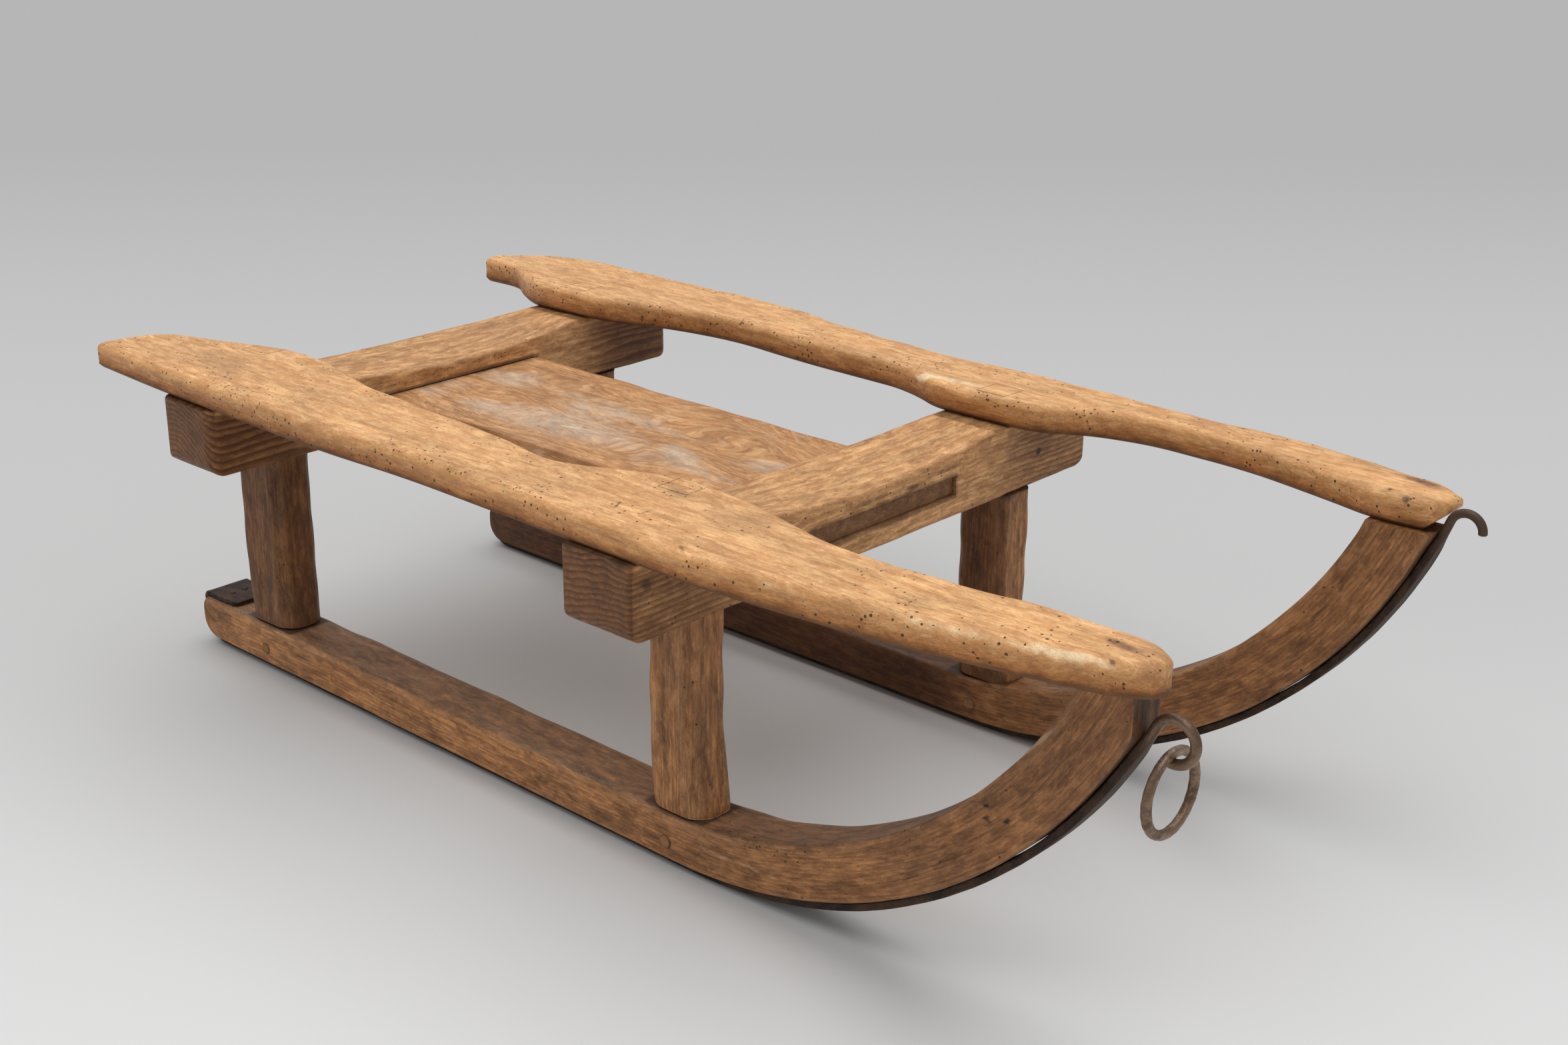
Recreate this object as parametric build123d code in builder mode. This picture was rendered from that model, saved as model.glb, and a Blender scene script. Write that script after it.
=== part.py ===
from build123d import *
import math
import os

os.makedirs("parts", exist_ok=True)

# Frame: X runs forward to the curled tips, Y to the sled's left, Z up, in millimetres.
# The origin is on the ground, under the middle of the sled's overall length and width.
# A station is a distance forward of the heel, the rearmost point of the iron shoes.

# Main sizes
track_half = 148.0          # middle of each runner from the sled's centre line
rail_seat = 235.0           # height of the rails' undersides, the crossbeams' tops
joint_gap = 0.2             # clearance left in every wooden joint
overrun = 10.0              # how far every cut runs past what it cuts

# Runners
runner_width = 42.0
runner_height = 33.0
runner_arris = 4.5          # chamfer along the top edges
runner_toe_width = 26.0     # the runner narrows to this at its tip
runner_toe_depth = 43.0     # level thickness at the tip, under the rail
bend_station = 549.0        # where the underside starts to curve up
bend_radius = 355.0         # of the wood's underside
top_bend_lead = 15.0        # the upper side starts to curve this far behind the underside
right_toe_cut = 15.0        # the right runner is cut off this far behind the left one's tip
heel_radius = 15.0          # lower rear corner of the wood
heel_top_radius = 6.0       # upper rear corner of the wood

# Iron shoes
shoe_thickness = 5.5
shoe_width = 30.0
shoe_lap = 46.0             # how far the shoe lies over the runner's top, from the heel
lap_width = 38.0
shoe_toe_width = 12.0
shoe_taper_lead = 51.0      # the shoe narrows from this far ahead of the bend to its tip

# Crossbeams
beam_height = 51.0
beam_reach = 82.0           # from the middle of a runner to a crossbeam's end
rear_beam_shortfall = 6.0   # the rear crossbeam's left end stops this far short of that
beam_end_radius = 11.0
rear_beam_corner = 9.0      # rounding of the rear crossbeam's upright corners
front_beam_corner = 3.0
scoop_depth = 9.0           # hollow in the top, at the front face
scoop_rear_depth = 1.5      # the same at the rear face
scoop_margin = 30.0         # the hollow ends this far inside the middle of a runner
rear_beam_station = 108.0   # middle of the rear crossbeam
rear_beam_depth = 62.0      # along the sled
front_beam_station = 539.5
front_beam_depth = 59.0

# Posts
post_width = 38.0
post_arris = 7.0
post_flare_height = 55.0
tenon_width = 22.0          # across the sled
tenon_depth = 24.0          # along the sled
tenon_drop = 28.0           # how far the lower tenon goes into the runner
rail_tenon_shortfall = 0.6  # tenon end below the rail's top
left_rear_post_station = 116.0   # middles of the posts; the left ones stand further forward
right_rear_post_station = 90.0
left_front_post_station = 550.0
right_front_post_station = 532.5
left_rear_post_depth = 46.0      # along the sled
right_rear_post_depth = 50.0
front_post_depth = 42.0
rear_post_flare = 5.0       # a rear post's foot stands this much further forward
front_post_flare = 9.0

# Seat board
seat_margin = 72.0          # its edges this far inside the middle of a runner
seat_thickness = 14.0
seat_drop = 21.5            # its top below the crossbeams' tops
seat_recess = 3.0           # the board's ends behind the crossbeams' outer faces

# Rails: two boards with wavy edges, each with its own outline
rail_thickness = 20.0
rail_arris = 5.0            # bevel of the upper edges
rail_inward = 18.0          # the lobes reach this far inside the middle of a runner
rear_overhang = 32.0        # the outlines start this far behind the heel
rear_tip_rounding = 3.0     # taken off the rear tip by its rounding
rail_lead = 11.0            # the outlines end this far ahead of the runners' tips
rail_undercut = 20.0        # the left rail's front end leans out over the hook by this much
outline_round_share = 0.42  # of the shorter run beside each corner, given to its rounding
arris_share = 0.85          # most of a corner's radius that the bevel may take

# Pegs, whittled to flat sides
peg_diameter = 8.5
peg_sides = 8
peg_proud = 1.2
peg_height = 18.0

# Pull ring, forged to flat sides
ring_wire = 6.0
ring_sides = 8
ring_middle_diameter = 46.0
ring_gap = 0.3              # between the ring and the bar that it hangs on

# Closed eye at the right shoe's tip and open hook at the left one's, forged bars
hook_wire = 5.8
eye_wire = 6.2
hook_sides = 8
hook_end_bevel = 0.9
hook_shank = 8.0            # how far the bar runs back along the shoe
strap_end_drop = 4.5        # the flat of the shoe ends this far below the start of the curl
eye_radius = 12.4           # of the bar's middle line
eye_drop = 27.3             # the bar leaves the runner's curve this far below the runner's tip
eye_end_angle = -115.0
open_hook_radius = 10.5
open_hook_rise = 8.2        # the bar leaves the runner's curve this far above the runner's tip
open_hook_end_angle = 0.0

# Derived places
beam_half = track_half + beam_reach
scoop_half = track_half - scoop_margin
seat_half = track_half - seat_margin
seat_top = rail_seat - seat_drop
seat_bottom = seat_top - seat_thickness
runner_bottom = shoe_thickness + joint_gap
runner_top = runner_bottom + runner_height
beam_bottom = rail_seat - beam_height
rail_top = rail_seat + rail_thickness
heel_inset = shoe_thickness + joint_gap
tip_height = rail_seat - joint_gap

# Side view of a runner's wood: flat underside, upturned front cut off level under the rail
bend_height = runner_bottom + bend_radius
wood_tip = bend_station + math.sqrt(bend_radius ** 2 - (bend_height - tip_height) ** 2)
wood_top_tip = wood_tip - runner_toe_depth
top_bend_station = bend_station - top_bend_lead
top_run = wood_top_tip - top_bend_station
top_rise = tip_height - runner_top
top_bend_radius = (top_run ** 2 + top_rise ** 2) / (2 * top_rise)
top_bend_height = runner_top + top_bend_radius

# Middle line of a shoe
half_shoe = shoe_thickness / 2
shoe_line_radius = bend_radius + joint_gap + half_shoe


def shoe_line_station(height):
    """Station where a shoe's middle line reaches a height on its upturned front."""
    return bend_station + math.sqrt(shoe_line_radius ** 2 - (bend_height - height) ** 2)


def curl(start_height, radius):
    """Slope of the bar where it leaves the runner's curve, that point, and the middle of its curl."""
    station = shoe_line_station(start_height)
    slope = math.asin((station - bend_station) / shoe_line_radius)
    middle_station = station + radius * math.sin(slope)
    middle_height = start_height - radius * math.cos(slope)
    return math.degrees(slope), (station, start_height), (middle_station, middle_height)


eye_slope, eye_start, eye_middle = curl(tip_height - eye_drop, eye_radius)
open_hook_slope, open_hook_start, open_hook_middle = curl(tip_height + open_hook_rise, open_hook_radius)
front_reach = open_hook_middle[0] + open_hook_radius + hook_wire / 2
rear_reach = rear_overhang - rear_tip_rounding
origin_station = (front_reach - rear_reach) / 2

# Crossbeams: name, station of the middle, depth along the sled, left reach, corner radius
beams = [
    ("rear", rear_beam_station, rear_beam_depth, beam_half - rear_beam_shortfall, rear_beam_corner),
    ("front", front_beam_station, front_beam_depth, beam_half, front_beam_corner),
]
# Posts: name, side, station of the middle, depth along the sled, flare of the foot
posts = [
    ("rear", "left", left_rear_post_station, left_rear_post_depth, rear_post_flare),
    ("rear", "right", right_rear_post_station, right_rear_post_depth, rear_post_flare),
    ("front", "left", left_front_post_station, front_post_depth, front_post_flare),
    ("front", "right", right_front_post_station, front_post_depth, front_post_flare),
]
# Sides of the sled: name, sign of Y, how far the runner's wood may run ahead of its tip
sides = [("left", 1, overrun), ("right", -1, -right_toe_cut)]
signs = {side: sign for side, sign, toe_lead in sides}


def along(station):
    """X of a station."""
    return station - origin_station


def side_plane(y):
    """Vertical plane along the sled, at a distance from its centre line: X forward, Y up."""
    return Plane(origin=(0, y, 0), x_dir=(1, 0, 0), z_dir=(0, -1, 0))


def runner_blank(y):
    """Straight-sided runner, before its edges and its front are shaped."""
    centre = (along(bend_station), bend_height)
    top_centre = (along(top_bend_station), top_bend_height)
    toe_angle = math.degrees(math.asin((wood_tip - bend_station) / bend_radius))
    top_angle = math.degrees(math.asin((wood_top_tip - top_bend_station) / top_bend_radius))
    heel = along(heel_inset)
    with BuildPart() as blank:
        with BuildSketch(side_plane(y)):
            with BuildLine():
                Line((heel, runner_top), (along(top_bend_station), runner_top))
                CenterArc(top_centre, top_bend_radius, -90, top_angle)
                Line((along(wood_top_tip), tip_height), (along(wood_tip), tip_height))
                CenterArc(centre, bend_radius, -90, toe_angle)
                Line((along(bend_station), runner_bottom), (heel, runner_bottom))
                Line((heel, runner_bottom), (heel, runner_top))
            make_face()
        extrude(amount=runner_width / 2, both=True)
        rear = blank.edges().filter_by(Axis.Y).group_by(Axis.X)[0].sort_by(Axis.Z)
        fillet(rear[0], radius=heel_radius)
        rear = blank.edges().filter_by(Axis.Y).sort_by(Axis.X)
        upper = [edge for edge in rear if edge.center().Z > runner_top - heel_top_radius][0]
        fillet(upper, radius=heel_top_radius)
    return blank.part


def plan_wedge(y, width, toe_width, taper_station, end_station, height):
    """Block seen from above: parallel behind the taper station, narrowing to the end station."""
    with BuildPart() as wedge:
        with BuildSketch():
            with BuildLine():
                Polyline(
                    (along(-overrun), y - width / 2),
                    (along(taper_station), y - width / 2),
                    (along(end_station), y - toe_width / 2),
                    (along(end_station), y + toe_width / 2),
                    (along(taper_station), y + width / 2),
                    (along(-overrun), y + width / 2),
                    close=True,
                )
            make_face()
        extrude(amount=height)
    return wedge.part


def tenon_block(station, y, bottom, top, clearance):
    """Block of a tenon's section between two heights, grown by a clearance."""
    with BuildPart() as block:
        with BuildSketch(Plane.XY.offset(bottom)):
            with Locations((along(station), y)):
                Rectangle(tenon_depth + 2 * clearance, tenon_width + 2 * clearance)
        extrude(amount=top - bottom)
    return block.part


def finish(piece, label):
    """Label a piece and write its file."""
    piece.label = label
    export_step(piece, f"parts/{label}.step")


# Runners
for side, sign, toe_lead in sides:
    y = sign * track_half
    with BuildPart() as runner:
        add(runner_blank(y))
        upper_edges = runner.edges().filter_by(
            lambda edge: abs(abs(edge.center().Y - y) - runner_width / 2) < joint_gap
            and (
                (edge.geom_type == GeomType.LINE and abs(edge.center().Z - runner_top) < joint_gap)
                or (edge.geom_type == GeomType.CIRCLE and abs(edge.radius - top_bend_radius) < joint_gap)
            )
        )
        chamfer(upper_edges, length=runner_arris)
        add(
            plan_wedge(y, runner_width, runner_toe_width, top_bend_station, wood_tip + toe_lead, rail_seat),
            mode=Mode.INTERSECT,
        )
        for name, post_side, post_station, post_depth, post_flare in posts:
            if post_side != side:
                continue
            add(
                tenon_block(post_station, y, runner_top - tenon_drop, runner_top + overrun, joint_gap),
                mode=Mode.SUBTRACT,
            )
            foot = post_depth + post_flare
            with BuildSketch(Plane.XY.offset(runner_top)):
                with Locations((along(post_station) + post_flare / 2, y)):
                    Rectangle(foot, post_width + 2 * overrun)
            extrude(amount=overrun, mode=Mode.SUBTRACT)
            with Locations(Pos(along(post_station), y, peg_height) * Rot(90, 0, 0)):
                Cylinder(peg_diameter / 2 + joint_gap, runner_width + 2 * overrun, mode=Mode.SUBTRACT)
    finish(runner.part, f"runner_{side}")

# Iron shoes, each drawn down to a forged bar at its tip
# Columns: side, thickness of the bar, slope where its curl starts, that point, the curl's middle,
# radius, end angle
curls = [
    ("left", hook_wire, open_hook_slope, open_hook_start, open_hook_middle, open_hook_radius,
     open_hook_end_angle),
    ("right", eye_wire, eye_slope, eye_start, eye_middle, eye_radius, eye_end_angle),
]
low_turn = heel_radius + joint_gap + half_shoe
top_turn = heel_top_radius + joint_gap + half_shoe
lap_height = runner_top + joint_gap + half_shoe
taper_station = bend_station + shoe_taper_lead
for side, wire, slope, start, middle, radius, end_angle in curls:
    y = signs[side] * track_half
    toe = shoe_line_station(start[1] - strap_end_drop)
    toe_angle = math.degrees(math.asin((toe - bend_station) / shoe_line_radius))
    with BuildPart() as shoe:
        with BuildSketch(side_plane(y)):
            with BuildLine():
                Line((along(shoe_lap), lap_height), (along(half_shoe + top_turn), lap_height))
                CenterArc((along(half_shoe + top_turn), lap_height - top_turn), top_turn, 90, 90)
            trace(line_width=shoe_thickness)
        extrude(amount=lap_width / 2, both=True)
        with BuildSketch(side_plane(y)):
            with BuildLine():
                Line((along(half_shoe), lap_height - top_turn), (along(half_shoe), half_shoe + low_turn))
                CenterArc((along(half_shoe + low_turn), half_shoe + low_turn), low_turn, 180, 90)
                Line((along(half_shoe + low_turn), half_shoe), (along(bend_station), half_shoe))
                CenterArc((along(bend_station), bend_height), shoe_line_radius, -90, toe_angle)
            trace(line_width=shoe_thickness)
        extrude(amount=shoe_width / 2, both=True)
        add(
            plan_wedge(y, lap_width, shoe_toe_width, taper_station, toe + overrun, start[1] + overrun),
            mode=Mode.INTERSECT,
        )
        lean = math.radians(slope)
        start_angle = slope + 90
        begin = (along(start[0]), start[1])
        foot = (begin[0] - hook_shank * math.cos(lean), begin[1] - hook_shank * math.sin(lean))
        with BuildLine(side_plane(y)) as bar:
            Line(foot, begin)
            CenterArc((along(middle[0]), middle[1]), radius, start_angle, end_angle - start_angle)
        with BuildSketch(Plane(origin=bar.wire() @ 0, z_dir=bar.wire() % 0)):
            RegularPolygon(wire / 2, hook_sides, major_radius=False, rotation=180 / hook_sides)
        sweep(path=bar.wire())
        bar_end = shoe.faces().filter_by(GeomType.PLANE).sort_by_distance(bar.wire() @ 1)[0]
        chamfer(bar_end.edges(), length=hook_end_bevel)
    finish(shoe.part, f"shoe_{side}")


# Crossbeams: hollowed along the top between the rails, with the seat board and the posts let through
def scoop(station, depth_along):
    """Hollow cut from a crossbeam's top, deeper towards the front face."""
    slope = (scoop_depth - scoop_rear_depth) / depth_along
    with BuildPart() as hollow:
        for reach in (-overrun, depth_along + overrun):
            sink = scoop_rear_depth + slope * reach
            with BuildSketch(Plane(origin=(along(station) - depth_along / 2 + reach, 0, 0), z_dir=(1, 0, 0))):
                with BuildLine():
                    ThreePointArc((-scoop_half, rail_seat), (0, rail_seat - sink), (scoop_half, rail_seat))
                    Line((scoop_half, rail_seat), (-scoop_half, rail_seat))
                make_face()
        loft()
    return hollow.part


for name, beam_station, beam_depth, left_reach, corner_radius in beams:
    with BuildPart() as beam:
        with BuildSketch(Plane.XY.offset(beam_bottom)):
            with Locations((along(beam_station), (left_reach - beam_half) / 2)):
                Rectangle(beam_depth, left_reach + beam_half)
        extrude(amount=beam_height)
        lower_ends = beam.edges().filter_by(Axis.X).group_by(Axis.Z)[0]
        fillet(lower_ends, radius=beam_end_radius)
        corners = beam.edges().filter_by(Axis.Z)
        fillet(corners, radius=corner_radius)
        add(scoop(beam_station, beam_depth), mode=Mode.SUBTRACT)
        with BuildSketch(Plane.XY.offset(seat_bottom - joint_gap)):
            with Locations((along(beam_station), 0)):
                Rectangle(beam_depth + 2 * overrun, 2 * (seat_half + joint_gap))
        extrude(amount=seat_thickness + 2 * joint_gap, mode=Mode.SUBTRACT)
        for post_name, side, post_station, post_depth, post_flare in posts:
            if post_name != name:
                continue
            y = signs[side] * track_half
            add(
                tenon_block(post_station, y, beam_bottom - overrun, rail_seat + overrun, joint_gap),
                mode=Mode.SUBTRACT,
            )
    finish(beam.part, f"crossbeam_{name}")

# Posts: eight-sided, with a foot that flares forward and a tenon at each end
for name, side, post_station, post_depth, post_flare in posts:
    y = signs[side] * track_half
    with BuildPart() as post:
        foot = post_depth + post_flare
        for height, depth in ((runner_top, foot), (runner_top + post_flare_height, post_depth)):
            with BuildSketch(Plane.XY.offset(height)):
                with Locations((along(post_station) + (depth - post_depth) / 2, y)):
                    Rectangle(depth, post_width)
                chamfer(vertices(), length=post_arris)
        loft()
        with BuildSketch(Plane.XY.offset(runner_top + post_flare_height)):
            with Locations((along(post_station), y)):
                Rectangle(post_depth, post_width)
            chamfer(vertices(), length=post_arris)
        extrude(amount=beam_bottom - runner_top - post_flare_height)
        add(tenon_block(post_station, y, beam_bottom, rail_top - rail_tenon_shortfall, 0))
        add(tenon_block(post_station, y, runner_top - tenon_drop + joint_gap, runner_top, 0))
        with Locations(Pos(along(post_station), y, peg_height) * Rot(90, 0, 0)):
            Cylinder(peg_diameter / 2 + joint_gap, tenon_width + 2 * overrun, mode=Mode.SUBTRACT)
    finish(post.part, f"post_{name}_{side}")

# Pegs, one through each runner and the foot of its post
for name, side, post_station, post_depth, post_flare in posts:
    with BuildPart() as peg:
        with BuildSketch(side_plane(signs[side] * track_half)):
            with Locations((along(post_station), peg_height)):
                RegularPolygon(peg_diameter / 2, peg_sides)
        extrude(amount=runner_width / 2 + peg_proud, both=True)
        chamfer(peg.faces().filter_by(Axis.Y).edges(), length=peg_proud / 2)
    finish(peg.part, f"peg_{name}_{side}")

# Seat board: a plank let through both crossbeams, its ends just inside their outer faces
rear_face = rear_beam_station - rear_beam_depth / 2
front_face = front_beam_station + front_beam_depth / 2
with BuildPart() as seat:
    with BuildSketch(Plane.XY.offset(seat_bottom)):
        with Locations((along((rear_face + front_face) / 2), 0)):
            Rectangle(front_face - rear_face - 2 * seat_recess, 2 * seat_half)
    extrude(amount=seat_thickness)
finish(seat.part, "seat_board")

# Rails. Each outline point is a pair of shares. The first counts spans along the rail: 0 at its rear tip,
# 1 at the rear post, 2 at the front post and 3 at its front tip. The second goes outward across the sled,
# from 0 at the lobes' inner reach to 1 at the crossbeams' ends.
left_rail_shares = [
    (0.000, 0.45), (0.505, 0.92), (1.122, 0.92), (1.426, 0.94), (1.646, 0.75), (1.830, 0.69),
    (2.077, 0.73), (2.365, 0.67), (2.697, 0.66), (2.847, 0.55), (2.935, 0.49), (2.998, 0.30),
    (2.970, 0.10), (2.860, 0.07), (2.760, 0.17), (2.579, 0.32), (2.365, 0.34), (2.248, 0.23),
    (2.161, 0.02), (1.936, 0.01), (1.878, 0.13), (1.820, 0.20), (1.605, 0.22), (1.428, 0.30),
    (1.285, 0.21), (1.161, 0.00), (0.910, -0.04), (0.695, 0.07), (0.444, 0.27), (0.080, 0.25),
]
right_rail_shares = [
    (0.095, 0.93), (0.880, 0.98), (1.414, 1.00), (1.592, 0.95), (1.942, 0.97), (2.299, 0.97),
    (2.564, 0.86), (2.776, 0.72), (2.939, 0.57), (2.985, 0.46), (2.990, 0.30), (2.938, 0.18),
    (2.800, 0.17), (2.560, 0.26), (2.388, 0.30), (2.230, 0.16), (2.077, 0.05), (1.928, 0.07),
    (1.806, 0.39), (1.640, 0.29), (1.476, 0.24), (1.279, 0.19), (1.138, 0.01), (1.024, 0.03),
    (0.861, 0.10), (0.627, 0.24), (0.452, 0.29), (0.262, 0.38), (0.150, 0.56), (0.085, 0.82),
]
rail_front = wood_tip + rail_lead
rail_marks = [-rear_overhang, right_rear_post_station, right_front_post_station, rail_front]


def outline_point(run, out, sign):
    """Place of an outline point, from its two shares and the side of the sled."""
    spans = list(zip(rail_marks, rail_marks[1:]))
    index = min(int(run), len(spans) - 1)
    begin, end = spans[index]
    reach = track_half - rail_inward + out * (rail_inward + beam_reach)
    return (along(begin + (run - index) * (end - begin)), sign * reach)


def rounding(before, corner, after):
    """Radius that fits a corner, taken from the shorter run beside it and the turn there."""
    run_in = (Vector(*corner) - Vector(*before))
    run_out = (Vector(*after) - Vector(*corner))
    half_turn = math.radians(run_in.get_angle(run_out)) / 2
    return outline_round_share * min(run_in.length, run_out.length) / math.tan(half_turn)


for side, shares in (("left", left_rail_shares), ("right", right_rail_shares)):
    sign = signs[side]
    points = [outline_point(run, out, sign) for run, out in shares]
    radii = [
        rounding(points[index - 1], points[index], points[(index + 1) % len(points)])
        for index in range(len(points))
    ]
    with BuildPart() as rail:
        with BuildSketch(Plane.XY.offset(rail_seat)):
            with BuildLine():
                FilletPolyline(*points, radius=radii, close=True)
            make_face()
        extrude(amount=rail_thickness)
        bevel = min(rail_arris, arris_share * min(radii))
        chamfer(rail.faces().sort_by(Axis.Z)[-1].edges(), length=bevel)
        for name, post_side, post_station, post_depth, post_flare in posts:
            if post_side != side:
                continue
            add(
                tenon_block(post_station, sign * track_half, rail_seat - overrun, rail_top + overrun, joint_gap),
                mode=Mode.SUBTRACT,
            )
        if side == "left":
            front = along(rail_front)
            with BuildSketch(side_plane(sign * beam_half)):
                with BuildLine():
                    Polyline(
                        (front - rail_undercut, rail_seat),
                        (front + overrun, rail_seat + rail_undercut + overrun),
                        (front + overrun, rail_seat - overrun),
                        (front - rail_undercut, rail_seat - overrun),
                        close=True,
                    )
                make_face()
            extrude(amount=beam_half, mode=Mode.SUBTRACT)
    finish(rail.part, f"rail_{side}")

# Pull ring, hanging on the lowest part of the curled eye
ring_hole = (ring_middle_diameter - ring_wire) / 2
bar_height = eye_middle[1] - eye_radius
ring_height = bar_height + eye_wire / 2 + ring_gap - ring_hole
ring_middle = (along(eye_middle[0]), -track_half, ring_height)
with BuildPart() as ring:
    with BuildSketch(Plane(origin=ring_middle, x_dir=(1, 0, 0), z_dir=(0, -1, 0))):
        with Locations((0, ring_middle_diameter / 2)):
            RegularPolygon(ring_wire / 2, ring_sides, major_radius=False, rotation=180 / ring_sides)
    revolve(axis=Axis(origin=ring_middle, direction=(1, 0, 0)))
finish(ring.part, "pull_ring")
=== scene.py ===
import logging
import math
from dataclasses import dataclass
from enum import Enum
from typing import Callable, ClassVar, Sequence

import bmesh
import bpy
import numpy as np
from mathutils import Matrix, Vector


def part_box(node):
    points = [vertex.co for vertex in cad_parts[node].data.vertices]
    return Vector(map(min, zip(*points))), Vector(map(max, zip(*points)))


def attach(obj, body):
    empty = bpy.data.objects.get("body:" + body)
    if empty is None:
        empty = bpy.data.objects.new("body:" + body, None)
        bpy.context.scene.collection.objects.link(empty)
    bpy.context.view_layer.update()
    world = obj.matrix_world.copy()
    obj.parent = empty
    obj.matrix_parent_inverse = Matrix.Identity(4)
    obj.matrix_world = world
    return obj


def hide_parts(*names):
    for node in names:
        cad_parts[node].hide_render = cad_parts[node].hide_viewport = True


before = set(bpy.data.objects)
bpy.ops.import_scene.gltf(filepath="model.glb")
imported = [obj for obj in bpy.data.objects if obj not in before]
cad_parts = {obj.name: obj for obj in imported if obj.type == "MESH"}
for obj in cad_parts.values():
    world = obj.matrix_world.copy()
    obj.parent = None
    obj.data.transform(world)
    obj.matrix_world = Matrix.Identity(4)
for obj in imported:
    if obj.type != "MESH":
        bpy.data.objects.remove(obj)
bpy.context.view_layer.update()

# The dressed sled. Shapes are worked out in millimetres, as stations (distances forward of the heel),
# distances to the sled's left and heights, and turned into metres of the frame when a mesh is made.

log = logging.getLogger("sled")
Array = np.ndarray
Colour = tuple[float, float, float]
Socket = bpy.types.NodeSocket
Material = bpy.types.Material

MM = 0.001
FAR_OFF = 500.0
SLED_BODY, RING_BODY = "sled", "ring"
ORIGIN_STATION = -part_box("shoe_right")[0].x / MM


class Side(Enum):
    """Which side of the sled, with the sign of Y there."""

    LEFT = 1
    RIGHT = -1


class Frame(Enum):
    """Which pair of posts and their crossbeam."""

    REAR = "rear"
    FRONT = "front"


# Sizes


@dataclass(frozen=True)
class SledSizes:
    """Sizes in millimetres that several pieces share, as the frame has them."""

    track_half: float = 148.0
    rail_seat: float = 235.0
    rail_top: float = 255.0
    joint_gap: float = 0.2
    runner_bottom: float = 5.7
    runner_top: float = 38.7
    bend_station: float = 549.0
    bend_height: float = 360.7
    bend_radius: float = 355.0
    top_bend_station: float = 534.0
    wood_tip: float = 880.92
    wood_top_tip: float = 837.92
    tip_height: float = 234.8
    beam_half: float = 230.0
    beam_bottom: float = 184.0
    seat_half: float = 76.0
    seat_bottom: float = 199.5
    seat_top: float = 213.5
    peg_height: float = 18.0
    peg_radius: float = 4.25
    tenon_along: float = 12.0
    tenon_across: float = 11.0


@dataclass(frozen=True)
class PostPlace:
    """Where a post stands, in millimetres: its middle's station, its depth and the flare of its foot.

    The tone says how much painted shade darkens the whole post against the runners, and the shade how much
    painted shade darkens its side towards the middle of the sled.
    """

    at: Frame
    side: Side
    station: float
    depth: float
    flare: float
    tone: float = 0.0
    shade: float = 0.0


SIZES = SledSizes()
POSTS = (
    PostPlace(Frame.REAR, Side.LEFT, 116.0, 46.0, 5.0, tone=0.4, shade=0.9),
    PostPlace(Frame.REAR, Side.RIGHT, 90.0, 50.0, 5.0, tone=0.75),
    PostPlace(Frame.FRONT, Side.LEFT, 550.0, 42.0, 9.0, shade=0.85),
    PostPlace(Frame.FRONT, Side.RIGHT, 532.5, 42.0, 9.0, tone=0.16),
)


def posts_on(side: Side) -> list[PostPlace]:
    """The rear and the front post of one side."""
    return [post for post in POSTS if post.side is side]


# Numpy helpers


def ripple(places: Array, size: float, seed: int, waves: int = 12) -> Array:
    """Smooth seeded noise, about -1 to 1: a sum of sine waves of random direction, length and phase.

    Args:
        places: Points, with their coordinates in the last axis.
        size: Usual wavelength, in the same unit as the points.
        seed: Seed of the directions, lengths and phases.
        waves: How many waves are added.

    Returns:
        One value for each point.
    """
    draw = np.random.default_rng(seed)
    directions = draw.normal(size=(waves, places.shape[-1]))
    directions /= np.linalg.norm(directions, axis=1, keepdims=True)
    lengths = size * draw.uniform(0.6, 1.9, waves)
    phases = draw.uniform(0, math.tau, waves)
    turns = places @ (directions / lengths[:, None]).T * 2 * math.pi + phases
    return np.sin(turns).sum(axis=-1) / math.sqrt(waves)


def ripple_share(places: Array, size: float, seed: int) -> Array:
    """The same noise held between 0 and 1."""
    return 0.5 + 0.5 * np.tanh(ripple(places, size, seed))


def ease(value: Array | float, low: float, high: float) -> Array:
    """0 below low, 1 above high, and a smooth step in between."""
    share = np.clip((np.asarray(value, float) - low) / (high - low), 0, 1)
    return share * share * (3 - 2 * share)


def unit(vectors: Array) -> Array:
    """Vectors made one long; a zero vector stays zero."""
    return vectors / np.maximum(np.linalg.norm(vectors, axis=-1, keepdims=True), 1e-9)


def stacked(*parts: Array) -> Array:
    """Arrays of one shape, side by side in a new last axis."""
    return np.stack(parts, axis=-1)


def bent(start: Array, corner: Array, end: Array, share: Array) -> Array:
    """Quadratic curve from a start to an end, pulled towards a corner, at shares of its way."""
    return (1 - share) ** 2 * start + 2 * share * (1 - share) * corner + share ** 2 * end


def fallen(gap: Array, radius: float) -> Array:
    """How far a quarter circle has dropped at a gap from its end; nothing from its radius inwards."""
    return radius - np.sqrt(np.clip(radius ** 2 - np.clip(radius - gap, 0, None) ** 2, 0, None))


def box_corners(half: Array, low: Array, high: Array) -> Array:
    """Corners of four-sided sections, (n, 4, 2), from their half widths and their two levels."""
    return np.stack([stacked(-half, low), stacked(half, low),
                     stacked(half, high), stacked(-half, high)], axis=1)


def run_along(path: Array) -> Array:
    """Length of the way along a path to each of its points."""
    return np.concatenate([[0], np.cumsum(np.linalg.norm(np.diff(path, axis=0), axis=1))])


def spread(values: Array, columns: int) -> Array:
    """One value for each section, repeated for each of the section's points."""
    return np.repeat(values[:, None], columns, axis=1)


def worked(skin: Array, seed: int, broad: tuple[float, float], fine: tuple[float, float]) -> Array:
    """Depth of a worked surface: broad and fine noise, each given as its depth and its wavelength."""
    return broad[0] * ripple_share(skin, broad[1], seed) + fine[0] * ripple_share(skin, fine[1], seed + 1)


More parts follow.
